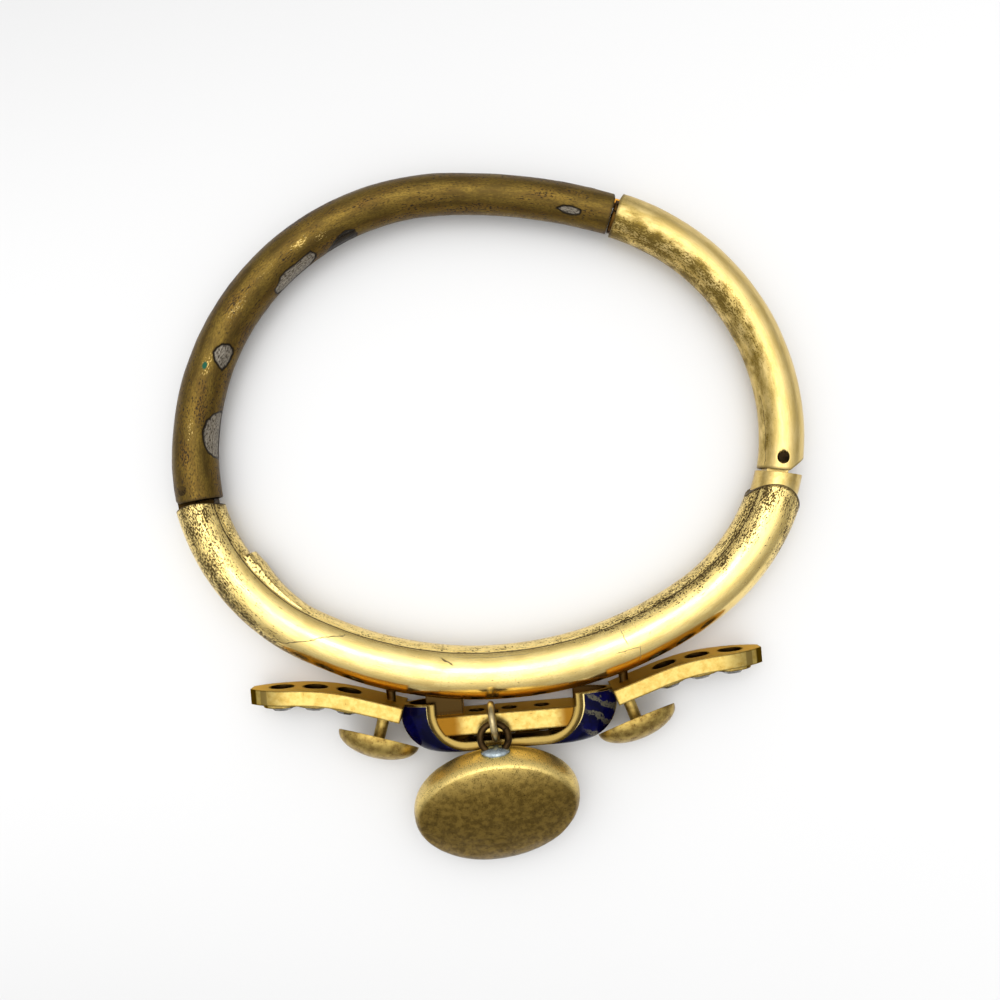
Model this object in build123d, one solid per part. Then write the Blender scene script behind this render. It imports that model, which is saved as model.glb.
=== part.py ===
from build123d import *
import math
import os

# All lengths are millimetres and all angles are degrees. The bangle lies on its side: the loop's axis is Z
# and the ornament faces -Y. The loop is drawn about the point midway between the end arcs of the front
# tube, at the height of the tubes' centreline, and the finished pieces are then stood on the floor.

# Front tube, seen in plan: a wide middle arc and a tighter arc at each end
front_middle_radius = 40.9
front_middle_half_angle = 31.0
front_end_radius = 21.9
front_mouth_angle = 18.9
front_left_thickness = 5.1
front_middle_thickness = 5.75
front_mouth_thickness = 5.8
front_mouth_wall = 0.35
front_wall = 0.45
front_left_bulge = 0.5
front_mouth_bulge = 1.8
front_mouth_shift = 0.12
front_flare = 12.0
front_plug = 2.4

# Inner strip soldered along the wrist side of the front tube, with its raised end. The profile gives how
# high the end stands, as shares of its length and of its greatest height.
strip_height = 2.9
strip_proud = 0.1
step_from_end = 7.8
step_proud = 0.75
step_length = 9.5
step_profile = [(-0.08, 0.0), (0.0, 0.8), (0.2, 1.0), (0.6, 0.45), (1.0, 0.0)]
strip_reach = 0.36

# Sleeve that telescopes in the mouth
sleeve_clearance = 0.09
sleeve_wall = 0.35
sleeve_depth = 6.5
sleeve_plug = 1.6

# Arms
arm_wall = 0.35
left_arm_thickness = 5.0
left_arm_clasp_thickness = 4.4
left_arm_radius = 28.0
left_arm_heading = 93.0
left_arm_sweep = 60.0
left_arm_inset = 0.2
right_arm_thickness = 4.8
right_arm_radius = 25.05
right_arm_sweep = 78.2
right_arm_turn = 1.7

# Hinges
left_pivot_angle = 6.3
left_pivot_offset = 0.9
right_pivot_angle = 11.2
right_pivot_offset = -0.3
hinge_opening = 40.0
hinge_end = 1.3
hinge_gap = 0.3
corner_share = 0.85
lug_thickness = 2.2
lug_radius = 1.0
lug_clearance = 0.12
lug_root = 1.5
lug_shoulder_rise = 0.25
rivet_diameter = 1.05
rivet_clearance = 0.03

# Clasp where the arms meet
clasp_gap = 0.45
notch_depth = 1.0
notch_width = 0.22
tongue_length = 2.0
tongue_thickness = 0.5
tongue_height = 1.8
tongue_offset = 1.0
tongue_clearance = 0.12
tongue_root = 2.0
plug_radius = 1.8
plug_shift = 0.2
plug_depth = 0.8
plug_clearance = 0.12

# Bar and wings of the ornament
ornament_gap = 1.0
bar_thickness = 2.0
bar_half_height = 2.55
wing_thickness = 1.6
wing_half_height = 3.0
wing_root = 11.3
wing_setback = 1.58
wing_slope = 18.0
wing_straight = 5.06
wing_bend_radius = 25.0
wing_bend = 15.0
wing_reach = 27.3
wing_tip_length = 5.0
wing_tip_half_height = 0.9

# Feet that stand the ornament off the front tube
foot_gap = 0.04
foot_diameter = 1.0
foot_root = 0.4
foot_x = 12.5
saddle_x = 6.8
saddle_width = 3.9
saddle_height = 2.6

# Stones and their collets
wing_stone_diameter = 3.3
wing_stone_first = 6.16
wing_stone_pitch = 3.55
wing_stones = 3
bar_stone_diameter = 2.3
bar_stone_pitch = 3.5
bar_stones = 3
stone_sides = 8
stone_clearance = 0.03
stone_ledge = 0.3
girdle_thickness = 0.1
culet_share = 0.06
collet_wall = 0.28
collet_height = 0.4
collet_lip = 0.12
collet_root_share = 0.25

# Share of a stone's diameter that its table, crown and pavilion take
table_share = 0.56
crown_share = 0.17
pavilion_share = 0.4

# Enamel frame round the bar
frame_half_width = 11.6
frame_rim_half_width = 7.8
frame_rim_shift = -0.45
frame_rim_lean = 0.3
frame_half_height = 2.25
frame_back = 1.35
frame_corner = 4.2
frame_wall = 0.95
frame_rim_round = 0.1
frame_ring_clearance = 0.15
enamel_depth = 0.35
enamel_clearance = 0.03
enamel_margin = 0.14
equator_rib = 0.4
window_half_width = 5.3
window_half_height = 1.3
window_lip = 0.3

# Bosses in front of the wings
boss_length = 8.8
boss_height = 5.4
boss_thickness = 2.1
boss_standoff = 2.7
boss_lean = 16.0
left_boss_distance = 1.91
right_boss_distance = 1.2
post_diameter = 1.3
post_depth = 0.8
post_clearance = 0.03

# Jump ring
jump_x = -1.75
jump_wire = 0.8
jump_diameter = 4.3
jump_rise = 0.2
jump_setback = 0.17
jump_turn = 5.5
slot_clearance = 0.2
web_height = 0.4

# Drop, which leans on the enamel frame's rim and the floor, and the ring soldered to its wall
drop_ring_wire = 0.75
drop_ring_diameter = 3.7
drop_ring_clearance = 0.03
drop_ring_rise = 8.0
drop_ring_sink = 0.45
drop_slope = 26.0
drop_turn = 9.0
drop_length = 17.8
drop_width = 13.2
drop_wall_height = 2.8
drop_dome = 1.6
drop_back_dome = 0.2
drop_shoulder = 0.12
drop_shift = -0.35
solder_width = 3.1
solder_height = 1.9
solder_thickness = 1.1

# Reach of the cutting tools past what they cut
over = 1.5
far = 12.0

# Centres and bores that follow from the sizes above
end_centre_x = (front_middle_radius - front_end_radius) * math.sin(math.radians(front_middle_half_angle))
middle_centre_y = (front_middle_radius - front_end_radius) * math.cos(math.radians(front_middle_half_angle))
front_low_y = middle_centre_y - front_middle_radius
join_angle = 90 - front_middle_half_angle
mouth_bore = front_mouth_thickness / 2 - front_mouth_wall
sleeve_radius = mouth_bore - sleeve_clearance
middle_bore = front_middle_thickness / 2 - front_wall
left_bore = front_left_thickness / 2 - front_wall


def heading(angle):
    """Unit vector in plan along a direction."""
    return Vector(math.cos(math.radians(angle)), math.sin(math.radians(angle)), 0)


def polar(centre, radius, angle):
    """Point in plan at a distance and direction from a centre."""
    return centre + heading(angle) * radius


def turn_of(length, radius):
    """Angle that a length takes on an arc."""
    return math.degrees(length / radius)


def block(low, high):
    """Box between two corners."""
    size = [b - a for a, b in zip(low, high)]
    middle = [(a + b) / 2 for a, b in zip(low, high)]
    return Pos(*middle) * Box(*size)


def mirrored(shape):
    """The same shape on the other side of the loop."""
    return mirror(shape, Plane.YZ)


class PlanArc:
    """One arc of a tube's centreline in plan: centre, radius, first direction and signed sweep."""

    def __init__(self, centre, radius, start, sweep):
        self.centre = centre
        self.radius = radius
        self.start = start
        self.sweep = sweep
        self.length = radius * abs(math.radians(sweep))

    def plane_at(self, share):
        """Section plane on the centreline, with X out of the loop."""
        out = heading(self.start + self.sweep * share)
        return Plane(origin=self.centre + out * self.radius, x_dir=out, z_dir=out.cross(Vector(0, 0, 1)))

    def ring(self, face):
        """Solid that a section sweeps round this arc."""
        first = min(self.start, self.start + self.sweep)
        plane = Plane(origin=self.centre, x_dir=heading(first), z_dir=heading(first - 90))
        placed = plane * Pos(self.radius, 0, 0) * face
        return revolve(placed, axis=Axis(self.centre, (0, 0, 1)), revolution_arc=abs(self.sweep))


class PlanPath:
    """Tangent arcs end to end, measured by length from the first one."""

    def __init__(self, arcs):
        self.arcs = arcs
        self.length = sum(arc.length for arc in arcs)

    def plane_at(self, distance):
        """Section plane at a distance, also a little before the start or past the end."""
        left = distance
        for arc in self.arcs[:-1]:
            if left <= arc.length:
                return arc.plane_at(left / arc.length)
            left -= arc.length
        return self.arcs[-1].plane_at(left / self.arcs[-1].length)

    def tapered(self, stations):
        """Round bar lofted through stations of distance, radius and shift towards the wrist."""
        return loft([self.plane_at(s) * Pos(-shift, 0) * Circle(radius) for s, radius, shift in stations])


class PlanFrame:
    """Frame in plan across a tube: X out of the loop and Y along the tube."""

    def __init__(self, origin, out_angle, along_angle):
        self.origin = origin
        self.out = heading(out_angle)
        self.along = heading(along_angle)
        self.plane = Plane(origin=origin, x_dir=self.out, z_dir=self.out.cross(self.along))

    def prism(self, points, half_height):
        """Upright solid over an outline given as (out, along) points."""
        return extrude(self.plane * make_face(Polyline(*points, close=True)), amount=half_height, both=True)

    def beyond(self, offset):
        """Everything near the frame that lies further along than an offset."""
        return self.prism([(-far, offset), (far, offset), (far, offset + far), (-far, offset + far)], far)

    def before(self, offset):
        """Everything near the frame that lies less far along than an offset."""
        return self.prism([(-far, offset), (far, offset), (far, offset - far), (-far, offset - far)], far)

    def post(self, radius, height, out=0.0, along=0.0):
        """Upright round bar centred on the tube's mid height."""
        middle = self.origin + self.out * out + self.along * along
        return Pos(*middle) * Cylinder(radius, height)

    def rounding(self, offset, thickness, bulge, out=0.0):
        """What is cut off a tube's end so that it bulges in plan."""
        half = thickness / 2
        radius = (half**2 + bulge**2) / (2 * bulge)
        return self.beyond(offset - bulge) - self.post(radius, 4 * far, out, offset - radius)


class Hinge(PlanFrame):
    """Hinge with its pivot at the frame's origin, the base behind it and the arm ahead of it."""

    def __init__(self, origin, out_angle, along_angle, centre, bore):
        super().__init__(origin, out_angle, along_angle)
        self.shoulder = math.sqrt(bore**2 - (lug_thickness / 2) ** 2) - lug_clearance - centre

    def corner_cut(self):
        """Outer corner of the arm's end, cut so that the arm swings clear of the base."""
        reach = hinge_end + hinge_gap * corner_share
        slope = math.radians(hinge_opening)
        tip = Vector(math.sin(slope), -math.cos(slope)) * reach
        rise = Vector(math.cos(slope), math.sin(slope)) * far
        corners = [tip - rise, tip + rise, tip + rise - Vector(0, 3 * far), tip - rise - Vector(0, 3 * far)]
        return self.prism([(corner.X, corner.Y) for corner in corners], far)

    def lug(self):
        """Flat lug with a round eye, and a shoulder that fills the wrist side of the joint."""
        root = hinge_end + hinge_gap + lug_root
        sides = [(-lug_radius, 0), (lug_radius, 0), (lug_radius, -root), (-lug_radius, -root)]
        plate = self.prism(sides, lug_thickness / 2) + self.post(lug_radius, lug_thickness)
        top = lug_shoulder_rise - hinge_end
        plate += self.prism([(-self.shoulder, top), (0, top), (0, -root), (-self.shoulder, -root)],
                            lug_thickness / 2)
        return plate - self.rivet_hole()

    def swing_room(self):
        """Room that the lug sweeps inside the arm as the arm opens."""
        room = lug_radius + lug_clearance
        slope = math.radians(hinge_opening)
        shoulder = Vector(math.cos(slope), math.sin(slope)) * room
        end = shoulder + Vector(math.sin(slope), -math.cos(slope)) * far
        sides = [(-room, 0), (-room, end.Y), (end.X, end.Y), (shoulder.X, shoulder.Y)]
        wedge = self.prism(sides, lug_thickness / 2 + lug_clearance)
        return wedge + self.post(room, lug_thickness + 2 * lug_clearance)

    def rivet_hole(self):
        return self.post(rivet_diameter / 2 + rivet_clearance, far)

    def rivet(self, skin):
        """Pin cut off flush with the arm's outer surface."""
        return self.post(rivet_diameter / 2, far) & skin

    def trim_arm(self, arm):
        """Hinge end of an arm: cut across, its corner cut, and bored for the rivet and the lug."""
        trimmed = arm - self.before(-hinge_end) - self.corner_cut()
        return trimmed - self.swing_room() - self.rivet_hole()


# Centrelines. The front tube runs from the left hinge to the mouth.
end_left = Vector(-end_centre_x, 0, 0)
end_right = Vector(end_centre_x, 0, 0)
front_left_angle = left_pivot_angle + turn_of(hinge_end + hinge_gap, front_end_radius)
left_end_arc = PlanArc(end_left, front_end_radius, 180 + front_left_angle, join_angle - front_left_angle)
middle_arc = PlanArc(Vector(0, middle_centre_y, 0), front_middle_radius, 180 + join_angle,
                     2 * front_middle_half_angle)
right_end_arc = PlanArc(end_right, front_end_radius, 360 - join_angle, join_angle - front_mouth_angle)
front_path = PlanPath([left_end_arc, middle_arc, right_end_arc])

left_hinge = Hinge(polar(end_left, front_end_radius + left_pivot_offset, 180 + left_pivot_angle),
                   180 + left_pivot_angle, 90 + left_pivot_angle, -left_pivot_offset - left_arm_inset,
                   left_arm_thickness / 2 - arm_wall)
right_hinge = Hinge(polar(end_right, front_end_radius + right_pivot_offset, -right_pivot_angle),
                    -right_pivot_angle, 90 - right_pivot_angle, -right_pivot_offset,
                    right_arm_thickness / 2 - arm_wall)
mouth = PlanFrame(polar(end_right, front_end_radius, -front_mouth_angle), -front_mouth_angle,
                  90 - front_mouth_angle)

# The right arm is one arc from its hinge to the clasp
right_start = polar(end_right, front_end_radius, -right_pivot_angle)
right_start_out = right_arm_turn - right_pivot_angle
right_centre = right_start - heading(right_start_out) * right_arm_radius
right_over = turn_of(2 * over, right_arm_radius)
right_arc = PlanArc(right_centre, right_arm_radius, right_start_out - right_over, right_arm_sweep + right_over)
clasp_out = right_start_out + right_arm_sweep
clasp = PlanFrame(polar(right_centre, right_arm_radius, clasp_out), clasp_out, clasp_out + 90)

# The left arm starts on an arc of a given radius and sweep. Two more tangent arcs link it to the clasp,
# which they always meet squarely.
left_start = polar(end_left, front_end_radius - left_arm_inset, 180 + left_pivot_angle)
left_first_centre = left_start + heading(left_arm_heading - 90) * left_arm_radius
left_first_arc = PlanArc(left_first_centre, left_arm_radius, left_arm_heading + 90, -left_arm_sweep)
left_end_out = clasp_out + turn_of(clasp_gap, right_arm_radius)
left_end = PlanFrame(polar(right_centre, right_arm_radius, left_end_out), left_end_out, left_end_out - 90)


def arc_from(start, direction, finish):
    """Arc that leaves a point in a direction and passes through another point."""
    chord = finish - start
    side = Vector(direction.Y, -direction.X, 0)
    radius = chord.dot(chord) / (2 * chord.dot(side))
    centre = start + side * radius
    first = math.degrees(math.atan2(start.Y - centre.Y, start.X - centre.X))
    last = math.degrees(math.atan2(finish.Y - centre.Y, finish.X - centre.X))
    return PlanArc(centre, math.copysign(radius, 1), first, (last - first + 180) % 360 - 180)


def linked(start, direction, finish, end_direction):
    """Two tangent arcs of equal tangent length that leave and arrive in given directions."""
    chord = finish - start
    both = direction + end_direction
    lead = 2 * (1 - direction.dot(end_direction))
    across = chord.dot(both)
    reach = (math.sqrt(across**2 + lead * chord.dot(chord)) - across) / lead
    joint = (start + direction * reach + finish - end_direction * reach) * 0.5
    first = arc_from(start, direction, joint)
    back = arc_from(finish, end_direction * -1, joint)
    second = PlanArc(back.centre, back.radius, back.start + back.sweep, -back.sweep)
    return [first, second]


left_turned = left_arm_heading - left_arm_sweep
left_link_start = polar(left_first_centre, left_arm_radius, left_turned + 90)
left_path = PlanPath([left_first_arc] + linked(left_link_start, heading(left_turned), left_end.origin,
                                               left_end.along))


def front_radius_at(distance):
    """Outer radius of the front tube, which swells from its ends to its middle."""
    share = distance / front_path.length
    ends = front_left_thickness + (front_mouth_thickness - front_left_thickness) * share
    swell = front_middle_thickness - (front_left_thickness + front_mouth_thickness) / 2
    return (ends + swell * math.sin(math.pi * min(max(share, 0), 1))) / 2


def front_shift_at(distance):
    """How far the outer form stands out of the loop towards the mouth, whose outer wall is thick."""
    return front_mouth_shift * min(max(1 - (front_path.length - distance) / front_flare, 0), 1)


def front_skin(grow=0.0):
    """Outer form of the front tube, a little longer than the tube."""
    count = 10
    marks = [-over + (front_path.length + 2 * over) * i / (count - 1) for i in range(count)]
    return front_path.tapered([(s, front_radius_at(s) + grow, -front_shift_at(s)) for s in marks])


def front_bore():
    """Hollow of the front tube: wide behind the mouth, then narrower in steps up to the left plug."""
    wide = middle_arc.ring(Circle(middle_bore)) + right_end_arc.ring(Circle(mouth_bore))
    past_mouth = PlanArc(end_right, front_end_radius, -front_mouth_angle, turn_of(2 * over, front_end_radius))
    plug = turn_of(front_plug, front_end_radius)
    narrow = PlanArc(end_left, front_end_radius, 180 + front_left_angle + plug,
                     join_angle - front_left_angle - plug)
    return wide + past_mouth.ring(Circle(mouth_bore)) + narrow.ring(Circle(left_bore))


def inner_strip():
    """Strip on the wrist side of the front tube, with its raised step near the left end."""
    depth = front_middle_thickness
    band = Pos(-(0.5 + strip_reach) * depth, 0) * Rectangle(depth, strip_height)
    run = left_end_arc.ring(band) + middle_arc.ring(band) + right_end_arc.ring(band)
    stations = []
    for share, rise in step_profile:
        s = step_from_end + share * step_length
        stations.append((s, front_radius_at(s), strip_proud / 2 + step_proud * rise))
    return (front_skin(strip_proud) & run) + (front_path.tapered(stations) & run)


def front_tube():
    """Hollow front with its inner strip, rounded ends and the left hinge lug."""
    body = front_skin() + inner_strip() - front_bore()
    body -= left_hinge.rounding(-hinge_end - hinge_gap, front_left_thickness, front_left_bulge,
                                -left_pivot_offset)
    body -= mouth.rounding(0, front_mouth_thickness, front_mouth_bulge)
    return body + left_hinge.lug()


def sleeve():
    """Tube that slides in the mouth, closed at the top, with the right hinge lug."""
    low = -front_mouth_angle - turn_of(sleeve_depth, front_end_radius)
    body = PlanArc(end_right, front_end_radius, low, -right_pivot_angle - low).ring(Circle(sleeve_radius))
    high = -right_pivot_angle - turn_of(hinge_end + hinge_gap + sleeve_plug, front_end_radius)
    body -= PlanArc(end_right, front_end_radius, low, high - low).ring(Circle(sleeve_radius - sleeve_wall))
    return body - right_hinge.beyond(-hinge_end - hinge_gap) + right_hinge.lug()


def notch(frame):
    """Cut at the outer edge of an arm's clasp end, which opens the joint into a V."""
    edge = left_arm_clasp_thickness / 2
    sides = [(edge - notch_depth, 0), (edge + notch_depth, -2 * notch_width), (edge + notch_depth, over),
             (0, over)]
    return frame.prism(sides, far)


def right_arm():
    """Hollow gold arm whose clasp end is closed by a plug with the tongue soldered through it."""
    radius = right_arm_thickness / 2
    tube = right_arc.ring(Circle(radius)) - right_arc.ring(Circle(radius - arm_wall))
    tube = right_hinge.trim_arm(tube) - notch(clasp)
    half = tongue_height / 2
    inner = tongue_offset
    blade = clasp.prism([(inner, -tongue_root), (inner + tongue_thickness, -tongue_root),
                         (inner + tongue_thickness, clasp_gap + tongue_length),
                         (inner, clasp_gap + tongue_length)], half)
    seat = clasp.prism([(inner, -tongue_root), (radius, -tongue_root), (radius, -notch_width),
                        (inner, -notch_width)], half)
    length = plug_depth + clasp_gap - plug_clearance
    across = Plane(origin=clasp.origin, x_dir=clasp.out, z_dir=clasp.along)
    plug = across * Pos(-plug_shift, 0, length / 2 - plug_depth) * Cylinder(plug_radius, length)
    return tube + blade + plug + (seat & right_arc.ring(Circle(radius - arm_wall / 2)))


def left_arm_skin(inset, extra):
    """Round form of the left arm, tapering from its hinge to the clasp."""
    count = 9
    stations = []
    for i in range(count):
        s = -2 * over - extra + (left_path.length + 2 * over + 2 * extra) * i / (count - 1)
        share = min(max(s / left_path.length, 0), 1)
        taper = (left_arm_clasp_thickness - left_arm_thickness) * math.sin(math.pi / 2 * share)
        stations.append((s, (left_arm_thickness + taper) / 2 - inset, 0))
    return left_path.tapered(stations)


def left_arm():
    """Hollow arm whose open end takes the tongue, slotted so that either arm may open first."""
    tube = left_hinge.trim_arm(left_arm_skin(0, 0) - left_arm_skin(arm_wall, 0.3)) - notch(left_end)
    reach = tongue_length + 2 * tongue_clearance
    slot = left_end.prism([(tongue_offset, -reach), (far, -reach), (far, over), (tongue_offset, over)],
                          tongue_height / 2 + tongue_clearance)
    return tube - slot


# Ornament in plan: the bar stands off the front tube, and each wing leans back from it
bar_back_y = front_low_y - front_middle_thickness / 2 - ornament_gap
bar_y = bar_back_y - bar_thickness / 2
bar_front_y = bar_back_y - bar_thickness
jump_y = bar_y + jump_setback
jump_z = bar_half_height + jump_rise
frame_back_y = bar_back_y + frame_back
frame_front_y = jump_y - jump_diameter / 2 - frame_ring_clearance - frame_wall
wing_start = Vector(wing_root, bar_y + wing_setback, 0)
wing_bend_start = wing_start + heading(wing_slope) * wing_straight
wing_bend_centre = wing_bend_start + heading(wing_slope - 90) * wing_bend_radius
wing_bend_length = wing_bend_radius * math.radians(wing_bend)


def wing_plane(distance):
    """Plane on the right wing's mid surface, with Z to the front and Y up."""
    if distance <= wing_straight:
        along = wing_slope
        origin = wing_start + heading(along) * distance
    elif distance <= wing_straight + wing_bend_length:
        along = wing_slope - turn_of(distance - wing_straight, wing_bend_radius)
        origin = polar(wing_bend_centre, wing_bend_radius, along + 90)
    else:
        along = wing_slope - wing_bend
        origin = polar(wing_bend_centre, wing_bend_radius, along + 90)
        origin += heading(along) * (distance - wing_straight - wing_bend_length)
    return Plane(origin=origin, x_dir=heading(along), z_dir=heading(along - 90))


def wing_plate(grow=0.0):
    """Curved plate of the right wing with its round tip."""
    bend_end = wing_plane(wing_straight + wing_bend_length).origin
    middle = wing_plane(wing_straight + wing_bend_length / 2).origin
    tip = bend_end + heading(wing_slope - wing_bend) * wing_reach
    path = Wire([Line(wing_start, wing_bend_start), ThreePointArc(wing_bend_start, middle, bend_end),
                 Line(bend_end, tip)])
    section = Plane(origin=wing_start, x_dir=heading(wing_slope - 90), z_dir=heading(wing_slope))
    plate = sweep(section * Rectangle(wing_thickness + 2 * grow, 2 * (wing_half_height + grow)), path=path)
    if grow:
        return plate
    start = wing_reach - wing_tip_length
    fall = wing_half_height - wing_tip_half_height
    tip_radius = (wing_tip_length**2 + fall**2) / (2 * fall)
    half_turn = math.asin(wing_tip_length / tip_radius) / 2
    bend = (start + tip_radius * math.sin(half_turn),
            wing_half_height - tip_radius * (1 - math.cos(half_turn)))
    upper = ThreePointArc((start, wing_half_height), bend, (wing_reach, wing_tip_half_height))
    lower = mirror(upper, Plane.XZ)
    outline = make_face([Line((0, wing_half_height), (start, wing_half_height)), upper,
                         Line((wing_reach, wing_tip_half_height), (wing_reach, -wing_tip_half_height)), lower,
                         Line((start, -wing_half_height), (0, -wing_half_height)),
                         Line((0, -wing_half_height), (0, wing_half_height))])
    return plate & extrude(Plane(origin=(0, 0, 0), x_dir=(1, 0, 0), z_dir=(0, -1, 0)) * outline, amount=4 * far)


def stone_planes():
    """Named planes at the girdle's lower edge of each stone, with the stone's diameter and plate thickness."""
    places = []
    for i in range(wing_stones):
        plane = wing_plane(wing_stone_first + wing_stone_pitch * i)
        lift = wing_thickness / 2 + collet_height - collet_lip - girdle_thickness
        right = Plane(origin=plane.origin + plane.z_dir * lift, x_dir=plane.x_dir, z_dir=plane.z_dir)
        origin = Vector(-right.origin.X, right.origin.Y, right.origin.Z)
        normal = Vector(-right.z_dir.X, right.z_dir.Y, right.z_dir.Z)
        left = Plane(origin=origin, x_dir=(right.x_dir.X, -right.x_dir.Y, 0), z_dir=normal)
        places.append((f"right_wing_stone_{i + 1}", right, wing_stone_diameter, wing_thickness))
        places.append((f"left_wing_stone_{i + 1}", left, wing_stone_diameter, wing_thickness))
    for i in range(bar_stones):
        x = bar_stone_pitch * (i - (bar_stones - 1) / 2)
        y = bar_front_y - (collet_height - collet_lip - girdle_thickness)
        plane = Plane(origin=(x, y, 0), x_dir=(1, 0, 0), z_dir=(0, -1, 0))
        places.append((f"bar_stone_{i + 1}", plane, bar_stone_diameter, bar_thickness))
    return places


def stone(diameter):
    """Cut stone with its girdle's lower edge in the XY plane and its table towards +Z."""
    radius = diameter / 2
    girdle = RegularPolygon(radius, stone_sides)
    crown_low = Plane.XY.offset(girdle_thickness)
    crown_high = Plane.XY.offset(girdle_thickness + crown_share * diameter)
    deep = Plane.XY.offset(-pavilion_share * diameter)
    table = RegularPolygon(table_share * radius, stone_sides)
    crown = loft([crown_low * girdle, crown_high * table], ruled=True)
    pavilion = loft([deep * RegularPolygon(culet_share * radius, stone_sides), girdle], ruled=True)
    return crown + extrude(girdle, amount=girdle_thickness) + pavilion


def collet(diameter, thickness):
    """Raised round wall of a setting."""
    low = -(collet_height - collet_lip - girdle_thickness) - collet_root_share * thickness
    height = collet_lip + girdle_thickness - low
    return Pos(0, 0, low + height / 2) * Cylinder(diameter / 2 + stone_clearance + collet_wall, height)


def seat(diameter, thickness):
    """Open-backed seat of a setting: a straight wall, a cone under the girdle and a hole right through."""
    wide = diameter / 2 + stone_clearance
    narrow = diameter / 2 - stone_ledge
    reach = 2 * thickness
    hole = Pos(0, 0, -reach / 2) * Cylinder(narrow, reach)
    cone = Pos(0, 0, -stone_ledge / 2 - stone_clearance) * Cone(narrow, wide, stone_ledge)
    wall = Pos(0, 0, over / 2 - stone_clearance) * Cylinder(wide, over)
    return hole + cone + wall


def frame_width_at(z):
    """Half width of the bulging enamel frame at a height."""
    return frame_half_width - (frame_half_width - frame_rim_half_width) * (z / frame_half_height) ** 2


def u_side(z, inset, back):
    """Points and bends of one U-shaped side of the frame's plan at a height, from left to right."""
    wide = frame_width_at(z) - inset
    rise = (z / frame_half_height) ** 2
    middle = frame_rim_shift * rise
    front = frame_front_y + inset + frame_rim_lean * rise
    corner = frame_corner - inset
    bend = corner * (1 - math.sqrt(0.5))
    side = [(-wide, back), (-wide, front + corner), (-wide + bend, front + bend), (-wide + corner, front),
            (wide - corner, front), (wide - bend, front + bend), (wide, front + corner), (wide, back)]
    return [(x + middle, y) for x, y in side]


def u_edges(points):
    """Lines and arcs through the points of a U-shaped side."""
    return [Line(points[0], points[1]), ThreePointArc(*points[1:4]), Line(points[3], points[4]),
            ThreePointArc(*points[4:7]), Line(points[6], points[7])]


def u_wall(low, high, outer, inner, back):
    """Bulging U-shaped wall between two insets, lofted through three level sections."""
    sections = []
    for z in (low, (low + high) / 2, high):
        outside = u_side(z, outer, back)
        inside = u_side(z, inner, back)
        ends = [Line(outside[0], inside[0]), Line(outside[-1], inside[-1])]
        sections.append(Pos(0, 0, z) * make_face(u_edges(outside) + u_edges(inside) + ends))
    return loft(sections)


def window(grow):
    """Round-ended opening in the front of the enamel frame."""
    half = window_half_height + grow
    flat = window_half_width - window_half_height
    room = block((-flat, frame_front_y - over, -half), (flat, frame_front_y + 2 * frame_wall, half))
    end = Pos(0, frame_front_y + frame_wall / 2, 0) * Rot(90, 0, 0) * Cylinder(half, 2 * over + frame_wall)
    for x in (-flat, flat):
        room += Pos(x, 0, 0) * end
    return room


def enamel_field(outset, depth, shrink):
    """Upper field of enamel, from the rib round the equator to the rim."""
    low = equator_rib / 2
    high = frame_half_height - enamel_margin
    back = frame_back_y - enamel_margin
    field = u_wall(low, high, -outset, depth, back) - window(window_lip + shrink)
    if shrink:
        room = wing_plate(shrink)
        field -= room + mirrored(room)
        field &= block((-2 * far, frame_front_y - over, low + shrink), (2 * far, back - shrink, high - shrink))
    return field


def mirrored_down(shape):
    """The same shape below the equator."""
    return mirror(shape, Plane.XY)


def enamel_frame():
    """Gold shell of the enamel frame, with rounded rims, recesses for the enamel and its window."""
    shell = u_wall(-frame_half_height, frame_half_height, 0, frame_wall, frame_back_y)
    rims = [edge for edge in shell.edges() if abs(edge.center().Z) > frame_half_height - 0.01]
    shell = fillet(rims, frame_rim_round)
    recess = enamel_field(over / 2, enamel_depth, 0)
    return shell - recess - mirrored_down(recess) - window(0)


def frame_core(inset):
    """Filled form of the enamel frame's plan, set in from its outer surface and carried on above and below."""
    faces = []
    for z in (-frame_half_height, 0, frame_half_height):
        side = u_side(z, inset, frame_back_y)
        faces.append(Pos(0, 0, z) * make_face(u_edges(side) + [Line(side[-1], side[0])]))
    low = extrude(faces[0], amount=over, dir=(0, 0, -1))
    return loft(faces) + low + extrude(faces[-1], amount=over, dir=(0, 0, 1))


def middle_bar():
    """Straight bar whose ends run into the side walls of the enamel frame."""
    bar = block((-frame_half_width, bar_front_y, -bar_half_height),
                (frame_half_width, bar_back_y, bar_half_height))
    return bar & frame_core(frame_wall / 2)


def ring_slot():
    """Slot through the bar for the jump ring."""
    wide = jump_wire / 2 + slot_clearance
    low = jump_z - jump_diameter / 2 - slot_clearance
    high = bar_half_height - web_height
    return block((jump_x - wide, bar_front_y - over, low), (jump_x + wide, bar_back_y + over, high))


def boss_plane(distance):
    """Plane of a right boss's flat back where its post meets it, with Z to the front."""
    plane = wing_plane(distance)
    return Plane(origin=plane.origin + plane.z_dir * (wing_thickness / 2 + boss_standoff), x_dir=plane.x_dir,
                 z_dir=plane.z_dir)


def boss(distance):
    """Oval gold boss, leaning back on the post that holds it in the wing."""
    egg = scale(Sphere(1), by=(boss_length / 2, boss_height / 2, boss_thickness))
    egg &= block((-boss_length, -boss_height, 0), (boss_length, boss_height, boss_length))
    reach = boss_standoff + post_depth
    root = boss_thickness / 2
    post = Pos(0, 0, (root - reach) / 2) * Cylinder(post_diameter / 2, reach + root)
    return boss_plane(distance) * (Rot(-boss_lean, 0, 0) * egg + post)


def post_hole(distance):
    """Blind hole in the right wing for a boss's post."""
    depth = boss_standoff + post_depth + post_clearance
    return boss_plane(distance) * Pos(0, 0, -depth / 2) * Cylinder(post_diameter / 2 + post_clearance, depth)


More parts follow.
